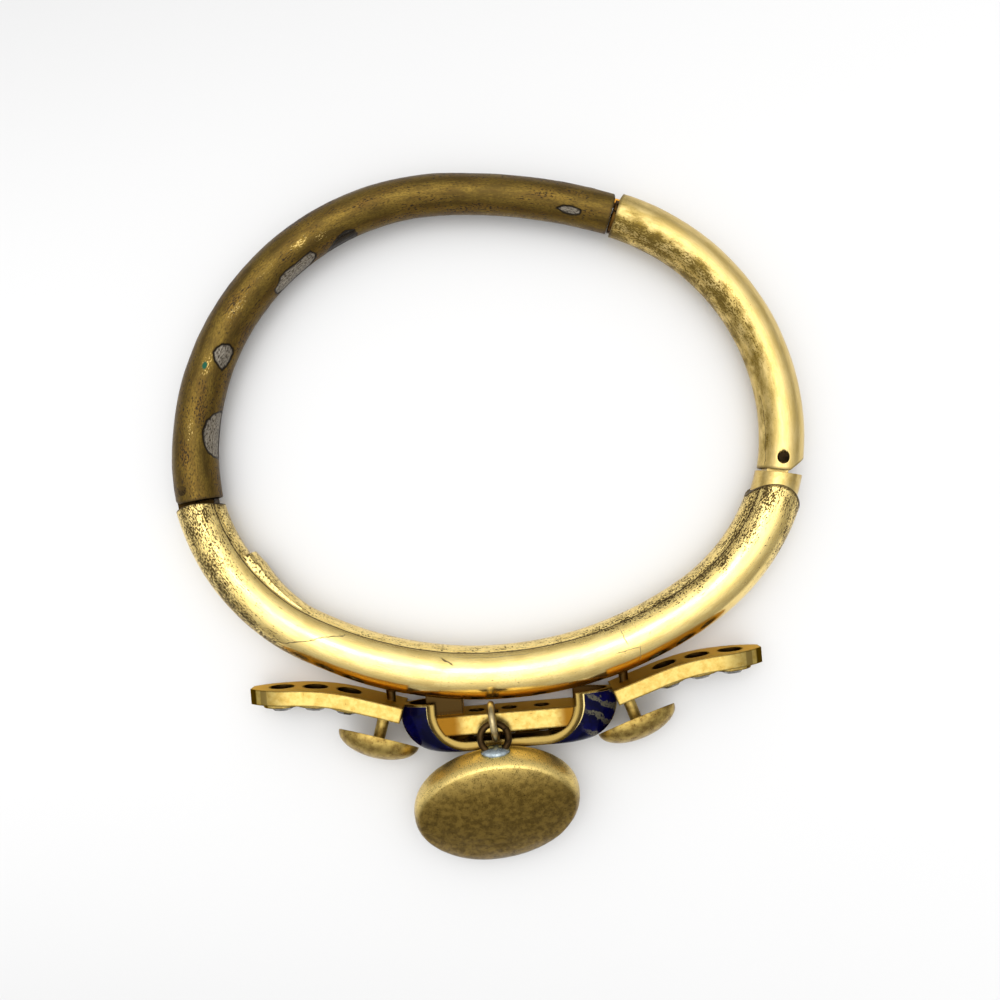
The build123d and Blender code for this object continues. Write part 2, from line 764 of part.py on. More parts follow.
def feet():
    """Legs that carry the ornament on the front tube: two posts and a saddle."""
    slope = math.cos(math.radians(wing_slope))
    wing = wing_plane((foot_x - wing_root) / slope)
    start = wing.origin.Y + wing_thickness / 2 / slope - foot_root
    length = front_low_y - start
    legs = Pos(foot_x, start + length / 2, 0) * Rot(90, 0, 0) * Cylinder(foot_diameter / 2, length)
    legs += mirrored(legs)
    inner = -saddle_x - saddle_width / 2
    legs += block((inner, bar_y, -saddle_height / 2),
                  (inner + saddle_width, front_low_y, saddle_height / 2))
    return legs - front_skin(foot_gap)


def ornament():
    """Bar, wings, collets, feet and enamel frame, soldered into one."""
    plate = wing_plate()
    wings = plate - post_hole(right_boss_distance) + mirrored(plate - post_hole(left_boss_distance))
    body = middle_bar() + wings + enamel_frame() + feet()
    for _, plane, diameter, thickness in stone_planes():
        body += plane * collet(diameter, thickness)
    for _, plane, diameter, thickness in stone_planes():
        body -= plane * seat(diameter, thickness)
    return body - ring_slot()


def jump_ring():
    """Ring that passes through the bar's slot and round its upper edge."""
    middle = (jump_diameter - jump_wire) / 2
    return Pos(jump_x, jump_y, jump_z) * Rot(0, 0, jump_turn) * Rot(0, 90, 0) * Torus(middle, jump_wire / 2)


def drop_cap(rise):
    """Low oval dome that closes one side of the drop, set in a little from the wall."""
    cap = scale(Sphere(1), by=(drop_length / 2 - drop_shoulder, drop_width / 2 - drop_shoulder, rise))
    return cap & block((-drop_length, -drop_width, 0), (drop_length, drop_width, drop_length))


def sloping_plane(origin, slope):
    """Plane facing up that slopes down towards the front by an angle, with X to the right."""
    turn = math.radians(slope)
    return Plane(origin=origin, x_dir=(1, 0, 0), z_dir=(0, -math.sin(turn), math.cos(turn)))


def drop():
    """Puffed oval drop, with the ring soldered to its wall hanging inside the jump ring."""
    top_z = jump_z + jump_diameter / 2 - jump_wire - drop_ring_clearance - drop_ring_wire / 2
    ring_plane = sloping_plane((jump_x, jump_y, top_z), -drop_ring_rise)
    middle = (drop_ring_diameter - drop_ring_wire) / 2
    ring = ring_plane * Pos(0, -middle, 0) * Torus(middle, drop_ring_wire / 2)
    meeting = ring_plane.origin - ring_plane.y_dir * (drop_ring_diameter - drop_ring_wire / 2 - drop_ring_sink)
    plane = sloping_plane(meeting, drop_slope)
    turn = math.radians(drop_turn)
    half = math.hypot(drop_length / 2 * math.sin(turn), drop_width / 2 * math.cos(turn))
    oval = extrude(Ellipse(drop_length / 2, drop_width / 2), amount=drop_wall_height / 2, both=True)
    oval += Pos(0, 0, drop_wall_height / 2) * drop_cap(drop_dome)
    oval += Pos(0, 0, -drop_wall_height / 2) * mirrored_down(drop_cap(drop_back_dome))
    dome = Ellipse(solder_width / 2, solder_thickness / 2) & Pos(0, solder_thickness / 2) * Rectangle(
        solder_width, solder_thickness)
    blob = revolve(dome, axis=Axis.X)
    blob = scale(blob, by=(1, 1, solder_height / solder_thickness))
    return plane * (Pos(drop_shift, -half, 0) * Rot(0, 0, drop_turn) * oval + blob) + ring


def write_parts():
    """Build every piece, stand them on the floor and write one file for each."""
    pieces = {
        "front_tube": front_tube(),
        "sleeve": sleeve(),
        "left_arm": left_arm(),
        "right_arm": right_arm(),
        "left_rivet": left_hinge.rivet(left_arm_skin(0, 0)),
        "right_rivet": right_hinge.rivet(right_arc.ring(Circle(right_arm_thickness / 2))),
        "ornament": ornament(),
        "jump_ring": jump_ring(),
        "drop": drop(),
        "right_boss": boss(right_boss_distance),
        "left_boss": mirrored(boss(left_boss_distance)),
    }
    field = enamel_field(0, enamel_depth - enamel_clearance, enamel_clearance)
    pieces["enamel_upper"] = field
    pieces["enamel_lower"] = mirrored_down(field)
    for name, plane, diameter, _ in stone_planes():
        pieces[name] = plane * stone(diameter)
    boxes = [piece.bounding_box() for piece in pieces.values()]
    low = [min(tuple(box.min)[i] for box in boxes) for i in range(3)]
    high = [max(tuple(box.max)[i] for box in boxes) for i in range(3)]
    shift = Vector(-(low[0] + high[0]) / 2, -(low[1] + high[1]) / 2, -low[2])
    os.makedirs("parts", exist_ok=True)
    for name, piece in pieces.items():
        export_step(Pos(*shift) * piece, f"parts/{name}.step")
    for label, point in (("left pivot", left_hinge.origin), ("right pivot", right_hinge.origin),
                         ("slide centre", end_right), ("loop centre", Vector(0, 0, 0))):
        print(label, [round(value, 4) for value in tuple(point + shift)])
    for arc in left_path.arcs + front_path.arcs + [right_arc]:
        print("arc", [round(value, 4) for value in (arc.centre.X, arc.centre.Y, arc.radius, arc.start, arc.sweep)])


write_parts()
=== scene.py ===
import logging
import math
from dataclasses import dataclass, field
from enum import Enum
from functools import partial
from typing import Callable, Sequence

import bpy
import numpy as np
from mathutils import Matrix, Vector


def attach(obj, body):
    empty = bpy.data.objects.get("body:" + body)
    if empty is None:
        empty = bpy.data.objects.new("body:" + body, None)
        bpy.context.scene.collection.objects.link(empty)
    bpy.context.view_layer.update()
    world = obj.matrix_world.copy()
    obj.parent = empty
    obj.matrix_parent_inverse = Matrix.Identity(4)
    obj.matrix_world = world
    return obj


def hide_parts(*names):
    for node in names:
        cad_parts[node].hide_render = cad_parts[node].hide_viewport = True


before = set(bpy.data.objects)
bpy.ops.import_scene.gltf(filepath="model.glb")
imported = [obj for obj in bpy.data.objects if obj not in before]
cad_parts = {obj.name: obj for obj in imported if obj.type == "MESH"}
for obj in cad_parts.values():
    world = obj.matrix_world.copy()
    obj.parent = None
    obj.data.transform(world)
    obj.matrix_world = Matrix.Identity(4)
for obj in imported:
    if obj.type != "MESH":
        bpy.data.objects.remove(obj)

LOG = logging.getLogger("bangle")
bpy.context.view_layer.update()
MM = 0.001
UP = np.array([0.0, 0.0, 1.0])
Array = np.ndarray
Piece = bpy.types.Object
Socket = bpy.types.NodeSocket

# The loop is drawn about the point midway between the end arcs of the front tube, at mid height of the tubes
LOOP_CENTRE = np.array([-0.065, 7.7694, 3.0073])

# The property of a node that its first value in a call sets
CHOICES = {"Math": "operation", "VectorMath": "operation", "MapRange": "interpolation_type", "Mix": "data_type",
           "Attribute": "attribute_name", "UVMap": "uv_map"}


def linear(code: str) -> tuple[float, float, float, float]:
    """Turn an sRGB hex colour into linear RGBA.

    Args:
        code: Six hex digits, with or without a leading hash.

    Returns:
        Linear red, green, blue and an alpha of one.
    """
    digits = code.lstrip("#")
    values = [int(digits[i:i + 2], 16) / 255 for i in (0, 2, 4)]
    curve = [v / 12.92 if v <= 0.04045 else ((v + 0.055) / 1.055) ** 2.4 for v in values]
    return curve[0], curve[1], curve[2], 1.0


def add(tree: bpy.types.NodeTree, kind: str, *values: object, out: str = "", settings: dict | None = None,
        **named: object) -> Socket | None:
    """Add one node with its settings, values and links.

    Args:
        tree: The node tree that gets the node.
        kind: Blender's name of the node type, without its first word.
        *values: What the node does, where CHOICES names that, then values or sockets for its open inputs in order.
        out: The wanted output, or nothing for the first open one.
        settings: Other properties of the node.
        **named: Values or sockets by input name, with underscores for spaces.

    Returns:
        The output's socket, where the node has one.
    """
    node = tree.nodes.new("ShaderNode" + kind)
    given = list(values)
    if kind in CHOICES:
        setattr(node, CHOICES[kind], given.pop(0))
    for key, value in (settings or {}).items():
        setattr(node, key, value)
    pairs = list(zip([socket for socket in node.inputs if socket.enabled], given))
    pairs += [(node.inputs[key.replace("_", " ")], value) for key, value in named.items()]
    for socket, value in pairs:
        if isinstance(value, Socket):
            tree.links.new(value, socket)
        else:
            socket.default_value = value
    return node.outputs[out] if out else next((socket for socket in node.outputs if socket.enabled), None)


def heading(angle: float | Array) -> Array:
    """Unit vectors in plan along directions in degrees."""
    turn = np.radians(np.asarray(angle, float))
    return np.stack([np.cos(turn), np.sin(turn), np.zeros_like(turn)], axis=-1)


def polar(centre: tuple[float, float], radius: float, angle: float) -> tuple[float, float]:
    """Point in plan at a distance and direction from a centre."""
    turn = math.radians(angle)
    return centre[0] + radius * math.cos(turn), centre[1] + radius * math.sin(turn)


def ripple(points: Array, length: float, seed: int, waves: int = 14) -> Array:
    """Smooth unevenness from a few seeded waves.

    Args:
        points: Places in millimetres, with any number of columns.
        length: The usual distance from crest to crest in millimetres.
        seed: Which waves are drawn.
        waves: How many waves are added.

    Returns:
        Values of about minus one to one, one for each place.
    """
    draw = np.random.default_rng(seed)
    total = np.zeros(points.shape[:-1])
    for _ in range(waves):
        direction = draw.normal(size=points.shape[-1])
        direction /= np.linalg.norm(direction)
        pitch = length * draw.uniform(0.6, 1.7)
        total += np.sin(points @ direction * (2 * math.pi / pitch) + draw.uniform(0, 2 * math.pi))
    return total / math.sqrt(waves)


def smooth(value: Array) -> Array:
    """Ease values between nought and one."""
    held = np.clip(value, 0, 1)
    return held * held * (3 - 2 * held)


def inside_distance(points: Array, outline: Sequence[tuple[float, float]]) -> Array:
    """Distance to a closed outline, positive inside it.

    Args:
        points: Places with two columns.
        outline: The outline's corners in order.

    Returns:
        Signed distances, one for each place.
    """
    corners = np.array(outline, float)
    nearest = np.full(points.shape[:-1], 1e9)
    inside = np.zeros(points.shape[:-1], bool)
    for first, second in zip(corners, np.roll(corners, -1, axis=0)):
        edge = second - first
        share = np.clip(((points - first) @ edge) / (edge @ edge), 0, 1)
        nearest = np.minimum(nearest, np.linalg.norm(points - first - share[..., None] * edge, axis=-1))
        crosses = (first[1] > points[..., 1]) != (second[1] > points[..., 1])
        rise = edge[1] if abs(edge[1]) > 1e-9 else 1e-9
        inside ^= crosses & (points[..., 0] < first[0] + (points[..., 1] - first[1]) * edge[0] / rise)
    return np.where(inside, nearest, -nearest)


def spots(length: Array, angle: Array, radius: float, places: Sequence[tuple[float, ...]]) -> Array:
    """Soft spots on a tube.

    Args:
        length: Lengths along the tube.
        angle: Angles round it.
        radius: The tube's radius, which turns angles to millimetres.
        places: Length, angle, reach along, reach round and weight of each spot, in millimetres but for the angle.

    Returns:
        The summed weights, held to one.
    """
    total = np.zeros_like(length)
    for s, a, reach_s, reach_a, weight in places:
        across = np.radians(angle - a) * radius
        total += weight * np.exp(-(((length - s) / reach_s) ** 2) - (across / reach_a) ** 2)
    return np.clip(total, 0, 1)


def quads(number: Array, close_rows: bool = False) -> Array:
    """Faces that join a grid of vertices whose columns close on themselves.

    Args:
        number: Vertex numbers by row and column.
        close_rows: Whether the last row also joins the first.

    Returns:
        Four vertex numbers for each face.
    """
    beside = np.roll(number, -1, axis=1)
    if close_rows:
        below, corner = np.roll(number, -1, axis=0), np.roll(beside, -1, axis=0)
    else:
        number, below, beside, corner = number[:-1], number[1:], beside[:-1], beside[1:]
    return np.stack([number, below, corner, beside], axis=-1).reshape(-1, 4)


def new_object(name: str, vertices: Array, faces: list, body: str, material: bpy.types.Material) -> Piece:
    """Make a smooth-shaded mesh object from millimetres and let it ride on a body.

    Args:
        name: The piece's name.
        vertices: Places in the part's frame, in millimetres.
        faces: Vertex numbers of each face.
        body: The CAD body that carries the piece.
        material: Its finish.

    Returns:
        The linked object.
    """
    mesh = bpy.data.meshes.new(name)
    mesh.from_pydata((vertices * MM).tolist(), [], faces)
    mesh.validate()
    mesh.shade_smooth()
    piece = bpy.data.objects.new(name, mesh)
    bpy.context.scene.collection.objects.link(piece)
    mesh.materials.append(material)
    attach(piece, body)
    return piece


@dataclass(frozen=True)
class Finish:
    """A named finish."""

    name: str = "finish"

    def start(self) -> tuple[bpy.types.Material, Callable]:
        """Make the empty material.

        Returns:
            The material, and the function that adds a node to it.
        """
        material = bpy.data.materials.new(self.name)
        material.use_nodes = True
        material.node_tree.nodes.clear()
        return material, partial(add, material.node_tree)

    @staticmethod
    def cover(new: Callable, body: object, layers: Sequence[tuple[object, object]]) -> Socket:
        """Lay colours over each other.

        Args:
            new: The function that adds a node.
            body: The lowest colour.
            layers: The share and the colour of each layer, from below.

        Returns:
            The blended colour.
        """
        for share, colour in layers:
            body = new("Mix", "RGBA", share, body, linear(colour) if isinstance(colour, str) else colour)
        return body


@dataclass(frozen=True)
class TubeMetal(Finish):
    """Brass tube, drawn, gilt and worn: its vertices carry tarnish, with a little painted shade by the front tube's
    step, rubs, bare patches and distance to the ends, which sets a dark band of tarnish and painted shadow at the
    cut ends.
    """

    name: str = "tube metal"
    bright: str = "#F9D773"
    deep: str = "#E0B650"
    tarnish: str = "#4E3A16"
    haze: str = "#9C7A34"
    bare: str = "#A49C8C"
    rub: str = "#E8C67A"
    pit: str = "#463E34"
    pit_light: str = "#C9C2B4"
    line: str = "#3A2A10"
    torn_edge: str = "#1C150B"
    verdigris: str = "#1A4634"
    rough: float = 0.16
    tarnish_rough: float = 0.55
    metal: float = 1.0
    speck_mm: float = 0.30
    cloud_share: float = 0.14
    grain_per_mm: tuple[float, float] = (0.45, 8.0)
    mottle_per_mm: tuple[float, float] = (0.3, 1.1)
    streak: float = 2.2
    speck_base: float = 0.62
    patchy: float = 0.4
    lined: float = 0.5
    grainy: float = 0.15
    veil: tuple[float, float] = (1.0, 0.75)
    mottle: tuple[float, float] = (0.4, 0.62)
    rim_mm: float = 0.35
    end_shadow_and_tarnish: float = 0.55
    bump_mm: float = 0.02
    seam_angle: float = 0.0
    seam_bend: float = 0.0
    seam_length: float = 1.0
    scratches: tuple = ()

    def build(self) -> bpy.types.Material:
        """Make the material from the tube's own length and girth coordinates, in millimetres.

        Returns:
            The material.
        """
        material, new = self.start()
        place = new("VectorMath", "SCALE", new("UVMap", "sheet"), 100.0)
        age, rub, bare, edge, green = (new("Attribute", name, out="Fac")
                                       for name in ("age", "rub", "bare", "edge", "green"))
        # Specks, clouds, polishing lines an eighth of a millimetre apart and a mottle a few millimetres wide, all
        # stretched along the tube, because gilding wears off in the direction of polishing. Real specks and lines
        # are finer than the render shows, so they are drawn as coarse as it needs
        drawn = (1 / self.streak, 1.0, 1.0)
        noises = []
        for stretch, scale, detail, roughness in ((drawn, 1 / self.speck_mm, 3.0, 0.6),
                                                  (drawn, self.cloud_share / self.speck_mm, 4.0, 0.6),
                                                  ((*self.grain_per_mm, 1.0), 1.0, 5.0, 0.7),
                                                  ((*self.mottle_per_mm, 1.0), 1.0, 5.0, 0.65)):
            vector = new("Mapping", Vector=place, Scale=stretch)
            noises.append(new("TexNoise", vector, scale, detail, roughness))
        fine, cloud, grain, wide = noises
        # Dirt shows where specks, clouds and lines add up to more than the metal's age allows
        level = new("Math", "MULTIPLY_ADD", cloud, self.patchy, fine)
        level = new("Math", "MULTIPLY_ADD", grain, self.lined, level)
        level = new("Math", "MULTIPLY_ADD", age, 0.42, level)
        limit = self.speck_base + 0.13 + 0.5 * (self.patchy + self.lined)
        dirt = new("MapRange", "SMOOTHSTEP", level, limit - 0.01, limit + 0.03)
        veil = new("Math", "MULTIPLY", new("MapRange", "SMOOTHSTEP", age, 0.1, self.veil[0]),
                   new("MapRange", "SMOOTHSTEP", cloud, 0.25, 0.7))
        flecks = new("Math", "MULTIPLY_ADD", fine, 2.6, rub)
        rubbed = new("Math", "MULTIPLY", new("MapRange", "SMOOTHSTEP", flecks, 1.72, 2.05),
                     new("MapRange", "SMOOTHSTEP", rub, 0.02, 0.2))
        # A dark band at each cut end, in the colour of the lines: tarnish, with painted shadow of the gap at the
        # end
        rim = new("MapRange", "SMOOTHSTEP", edge, self.rim_mm, self.rim_mm * 0.3, 0.0, self.end_shadow_and_tarnish)
        lines = new("Math", "MAXIMUM", self.lines(new, place), rim)
        # Where the gilding is eaten away, bare metal shows: matte grey, pitted, with a dark broken outline
        torn = new("Math", "MULTIPLY_ADD", cloud, 0.5, bare)
        shown = new("MapRange", "SMOOTHSTEP", torn, 0.25, 0.31)
        outline = new("Math", "MULTIPLY", new("MapRange", "SMOOTHSTEP", torn, 0.05, 0.25),
                      new("MapRange", "SMOOTHSTEP", torn, 0.47, 0.30))
        pits = self.cover(new, linear(self.bare), (
            (new("MapRange", "SMOOTHSTEP", fine, 0.44, 0.6), self.pit),
            (new("MapRange", "SMOOTHSTEP", grain, 0.52, 0.7, 0.0, 0.6), self.pit_light)))
        body = self.cover(new, linear(self.bright), (
            (new("MapRange", "SMOOTHSTEP", wide, *self.mottle), self.deep),
            (new("Math", "MULTIPLY", veil, self.veil[1]), self.haze),
            (new("MapRange", "SMOOTHSTEP", grain, 0.45, 0.75, 0.0, 0.22), self.haze),
            (new("MapRange", "SMOOTHSTEP", fine, 0.42, 0.58, 0.0, self.grainy), self.deep),
            (rubbed, self.rub), (dirt, self.tarnish), (lines, self.line), (shown, pits),
            (outline, self.torn_edge), (new("MapRange", "SMOOTHSTEP", green, 0.3, 0.6), self.verdigris)))
        dull = new("Math", "MAXIMUM", new("Math", "MAXIMUM", dirt, shown), lines)
        rough = new("Math", "MULTIPLY_ADD", grain, 0.16, self.rough - 0.06)
        rough = new("Math", "MULTIPLY_ADD", veil, 0.16, rough)
        high = new("Math", "MULTIPLY", fine, 0.35)
        for value, weight in ((grain, 0.35), (dirt, -0.6), (shown, -1.5), (lines, -1.0)):
            high = new("Math", "MULTIPLY_ADD", value, weight, high)
        new("OutputMaterial", new(
            "BsdfPrincipled", Base_Color=body, Roughness=new("Mix", "FLOAT", dull, rough, self.tarnish_rough),
            Metallic=new("MapRange", "LINEAR", dull, 0.0, 1.0, self.metal, self.metal * 0.75),
            Normal=new("Bump", Height=high, Distance=self.bump_mm * MM, Strength=0.9)))
        return material

    def lines(self, new: Callable, place: Socket) -> Socket | float:
        """Draw the seam and the scratches as thin dark lines.

        Args:
            new: The function that adds a node.
            place: The length and girth coordinates in millimetres.

        Returns:
            How dark the lines are, from nought to one.
        """
        parts = new("SeparateXYZ", place).node.outputs
        shaky = new("TexNoise", place, 1.2, 3.0)
        total = 0.0
        if self.seam_angle:
            bow = new("Math", "SINE", new("Math", "MULTIPLY", parts["X"], math.pi / self.seam_length))
            middle = new("Math", "MULTIPLY_ADD", bow, self.seam_bend, self.seam_angle)
            off = new("Math", "ABSOLUTE", new("Math", "SUBTRACT", parts["Y"], middle))
            total = new("MapRange", "SMOOTHSTEP", off, 0.11, 0.03)
        for first, second, width, strength in self.scratches:
            reach = np.array(second) - np.array(first)
            span = float(np.linalg.norm(reach))
            along = (*(reach / span), 0.0)
            across = (-along[1], along[0], 0.0)
            # The line trembles by a quarter of a millimetre to each side
            start = (first[0] + 0.25 * across[0], first[1] + 0.25 * across[1], 0.0)
            shifted = new("VectorMath", "SUBTRACT", place, start)
            run = new("VectorMath", "DOT_PRODUCT", shifted, along)
            side = new("Math", "MULTIPLY_ADD", shaky, 0.5, new("VectorMath", "DOT_PRODUCT", shifted, across))
            mark = new("MapRange", "SMOOTHSTEP", new("Math", "ABSOLUTE", side), width, width * 0.35, 0.0, strength)
            for low, high in ((-0.3, 0.3), (span + 0.3, span - 0.3)):
                mark = new("Math", "MULTIPLY", mark, new("MapRange", "SMOOTHSTEP", run, low, high))
            total = new("Math", "MAXIMUM", total, mark)
        return total


@dataclass(frozen=True)
class CastMetal(Finish):
    """Cast or wrought metal of a solid piece, dark in its pores, with painted highlight, painted reflection and
    painted shade where a piece asks for them.
    """

    name: str = "antique gold"
    bright: str = "#E9C766"
    deep: str = "#B08A3C"
    tarnish: str = "#4A3818"
    rough: float = 0.3
    speck_mm: float = 0.35
    cloud_share: float = 0.16
    cover_share: float = 0.35
    patchy: float = 0.7
    bump_mm: float = 0.02
    bevel_mm: float = 0.1
    back: str = ""
    back_metal: float = 0.85
    edge: str = "#3A2810"
    painted_edge_shade: float = 0.0
    edge_mm: float = 0.18
    edge_tint: str = ""
    rim: str = ""
    rim_heights: tuple[float, float] = (4.9, 5.3)
    bar_end: str = "#7E5616"
    shade: str = "#3C2C14"
    painted_upslope_highlight: str = ""
    painted_table_reflection: str = "#8A8070"

    def build(self) -> bpy.types.Material:
        """Make the material from places on the piece, in millimetres.

        Returns:
            The material.
        """
        material, new = self.start()
        solid = new("TexCoord", out="Object")
        place = new("SeparateXYZ", solid).node.outputs
        facing = new("SeparateXYZ", new("TexCoord", out="Normal")).node.outputs
        # Pores are finer than a tenth of a millimetre, and are drawn as coarse as the render needs
        fine = new("TexNoise", solid, 1 / (self.speck_mm * MM), 7.0, 0.65)
        cloud = new("TexNoise", solid, self.cloud_share / (self.speck_mm * MM), 4.0, 0.6)
        limit = 0.5 * (self.patchy - self.cover_share)
        dirt = new("MapRange", "SMOOTHSTEP", new("Math", "MULTIPLY_ADD", cloud, self.patchy, fine),
                   limit + 0.78, limit + 0.90)
        layers = [(new("MapRange", "SMOOTHSTEP", cloud, 0.35, 0.65), self.deep)]
        shader = {"Metallic": 1.0}
        if self.back:
            # Backs keep the amber of old lacquer, where no polishing reaches
            behind = new("Math", "MULTIPLY", new("MapRange", "SMOOTHSTEP", facing["Z"], 0.75, 0.3),
                         new("MapRange", "SMOOTHSTEP", facing["Y"], -0.3, 0.1))
            layers.append((behind, self.back))
            shader["Metallic"] = new("MapRange", "SMOOTHSTEP", behind, 0.0, 1.0, 1.0, self.back_metal)
        if self.painted_upslope_highlight:
            # What faces up the slope gets a painted highlight of clean gold, and what faces down the slope gets a
            # painted grey reflection of the table
            layers += [(new("MapRange", "SMOOTHSTEP", facing["Y"], -0.38, 0.38), self.painted_upslope_highlight),
                       (new("MapRange", "SMOOTHSTEP", facing["Y"], -0.6, -0.85, 0.0, 0.7), self.painted_table_reflection)]
        if self.rim:
            layers += self.rim_layers(new, place, facing)
        layers.append((dirt, self.tarnish))
        if self.painted_edge_shade:
            # Sharp edges, found by looking for nearby walls inside the metal, get a dark line broken by specks:
            # painted shade of the edges' rounding
            near = new("AmbientOcclusion", Distance=self.edge_mm * MM, out="AO",
                       settings={"inside": True, "only_local": True, "samples": 6})
            near = new("Math", "MULTIPLY", new("MapRange", "SMOOTHSTEP", near, 0.97, 0.7, 0.0, self.painted_edge_shade),
                       new("MapRange", "SMOOTHSTEP", fine, 0.32, 0.5))
            layers.append((near, self.edge))
        if self.edge_tint:
            # Walls seen along their surface keep the lacquer's amber
            shader["Specular_Tint"] = linear(self.edge_tint)
        soft = new("Bevel", self.bevel_mm * MM, settings={"samples": 4})
        high = new("Math", "MULTIPLY_ADD", dirt, -0.6, fine)
        new("OutputMaterial", new(
            "BsdfPrincipled", Base_Color=self.cover(new, linear(self.bright), layers),
            Roughness=new("MapRange", "LINEAR", dirt, 0.0, 1.0, self.rough, min(self.rough + 0.3, 0.8)),
            Normal=new("Bump", Height=high, Distance=self.bump_mm * MM, Strength=0.8, Normal=soft), **shader))
        return material

    def rim_layers(self, new: Callable, place: object, facing: object) -> list[tuple[Socket, str]]:
        """Colour the enamel frame's rims and the bar's ends, and paint shade on the feet under the bar.

        Args:
            new: The function that adds a node.
            place: Outputs for the place in metres.
            facing: Outputs for the surface's direction.

        Returns:
            The share and the colour of each layer.
        """
        low, high = (value * MM for value in self.rim_heights)
        step = 0.05 * MM
        side = new("Math", "ABSOLUTE", place["X"])
        layers = []
        # Rims duller than the bar above them, lacquer pooled at both ends of the bar, and painted shade on the feet
        # under the bar
        for colour, bands in ((self.rim, ((place["Z"], low, low + step), (place["Z"], high + step, high))),
                              (self.bar_end, ((side, 4.4 * MM, 6.0 * MM), (side, 9.0 * MM, 8.4 * MM),
                                              (place["Z"], high, high + step))),
                              (self.shade, ((place["Z"], 4.65 * MM, 4.45 * MM), (facing["Z"], 0.2, 0.5)))):
            share = 1.0
            for value, first, last in bands:
                share = new("Math", "MULTIPLY", share, new("MapRange", "SMOOTHSTEP", value, first, last))
            layers.append((share, colour))
        return layers


@dataclass(frozen=True)
class Enamel(Finish):
    """Fired enamel, a glossy blue glass skin over gold, rubbed off in slanting streaks near its worn end."""

    name: str = "fired navy enamel"
    blue: str = "#03031E"
    light: str = "#06063C"
    worn: str = "#5E5A4A"
    wall: str = "#CDB878"
    wall_mm: float = 0.06
    cloud_mm: float = 1.6
    fine_mm: float = 0.25
    streak_turn_per_mm: tuple[float, float] = (2.1, 3.0)
    worn_from_mm: tuple[float, float] = (7.2, 8.8)
    ior: float = 1.16

    def build(self) -> bpy.types.Material:
        """Make the glossy glass skin and its worn streaks.

        Returns:
            The material.
        """
        material, new = self.start()
        solid = new("TexCoord", out="Object")
        parts = new("SeparateXYZ", solid).node.outputs
        cloud = new("TexNoise", solid, 1 / (self.cloud_mm * MM), 5.0, 0.6)
        fine = new("TexNoise", solid, 1 / (self.fine_mm * MM), 5.0, 0.7)
        # Streaks about 1.7 mm apart slant across the skin on the side that rubs
        sideways, upwards = (turn / MM for turn in self.streak_turn_per_mm)
        slant = new("Math", "MULTIPLY", parts["X"], sideways)
        for value, weight in ((parts["Y"], upwards), (cloud, 9.6)):
            slant = new("Math", "MULTIPLY_ADD", value, weight, slant)
        broken = new("MapRange", "SMOOTHSTEP", new("Math", "SINE", slant), 0.15, 0.55)
        start, full = (place * MM for place in self.worn_from_mm)
        for value, low, high in ((parts["X"], start, full), (fine, 0.36, 0.52)):
            broken = new("Math", "MULTIPLY", broken, new("MapRange", "SMOOTHSTEP", value, low, high))
        # A thin line of the gold cell wall shows round the enamel
        wall = new("AmbientOcclusion", Distance=self.wall_mm * MM, out="AO",
                   settings={"inside": True, "only_local": True, "samples": 6})
        wall = new("MapRange", "SMOOTHSTEP", wall, 0.85, 0.6)
        body = self.cover(new, linear(self.blue), ((new("MapRange", "SMOOTHSTEP", cloud, 0.4, 0.7), self.light),
                                                   (broken, self.worn), (wall, self.wall)))
        high = new("Math", "SUBTRACT", new("Math", "MULTIPLY", cloud, 0.6), broken)
        new("OutputMaterial", new(
            "BsdfPrincipled", Base_Color=body, Roughness=new("MapRange", "LINEAR", broken, 0.0, 1.0, 0.1, 0.5),
            Metallic=new("Math", "MAXIMUM", new("Math", "MULTIPLY", broken, 0.7), wall), IOR=self.ior,
            Normal=new("Bump", Height=high, Distance=0.03 * MM, Strength=0.6)))
        return material


@dataclass(frozen=True)
class CutStone(Finish):
    """Cut glass, polished: grey, clouded with dirt at the back and bright on its facets."""

    name: str = "clouded cut glass"
    body_colour: str = "#8A887C"
    dark: str = "#2E2D28"
    cloud_mm: float = 0.9

    def build(self) -> bpy.types.Material:
        """Make the clouded glass.

        Returns:
            The material.
        """
        material, new = self.start()
        cloud = new("TexNoise", new("TexCoord", out="Object"), 1 / (self.cloud_mm * MM), 5.0)
        share = new("MapRange", "SMOOTHSTEP", cloud, 0.35, 0.65)
        new("OutputMaterial", new("BsdfPrincipled", Roughness=0.12, IOR=1.6, Transmission_Weight=0.35,
                                  Base_Color=self.cover(new, linear(self.body_colour), ((share, self.dark),))))
        return material


@dataclass(frozen=True)
class PlanArc:
    """One arc of a tube's centreline in plan, in millimetres and degrees."""

    centre: tuple[float, float]
    radius: float
    start: float
    sweep: float

    @property
    def length(self) -> float:
        """Length along the arc."""
        return self.radius * abs(math.radians(self.sweep))


@dataclass(frozen=True)
class PlanPath:
    """Tangent arcs end to end, measured by length from the first one."""

    arcs: tuple[PlanArc, ...]

    @property
    def length(self) -> float:
        """Length of the whole path."""
        return sum(arc.length for arc in self.arcs)

    def frames(self, distance: Array) -> tuple[Array, Array]:
        """Find places on the path.

        Args:
            distance: Lengths along the path, also a little outside it.

        Returns:
            The places and the directions out of the loop there.
        """
        angle = np.zeros_like(distance)
        centre = np.zeros(distance.shape + (3,))
        radius = np.zeros_like(distance)
        before = 0.0
        for number, arc in enumerate(self.arcs):
            here = distance >= before if number else np.ones(distance.shape, bool)
            angle = np.where(here, arc.start + arc.sweep * (distance - before) / arc.length, angle)
            centre = np.where(here[..., None], np.array([*arc.centre, 0.0]), centre)
            radius = np.where(here, arc.radius, radius)
            before += arc.length
        out = heading(angle)
        return centre + out * radius[..., None], out


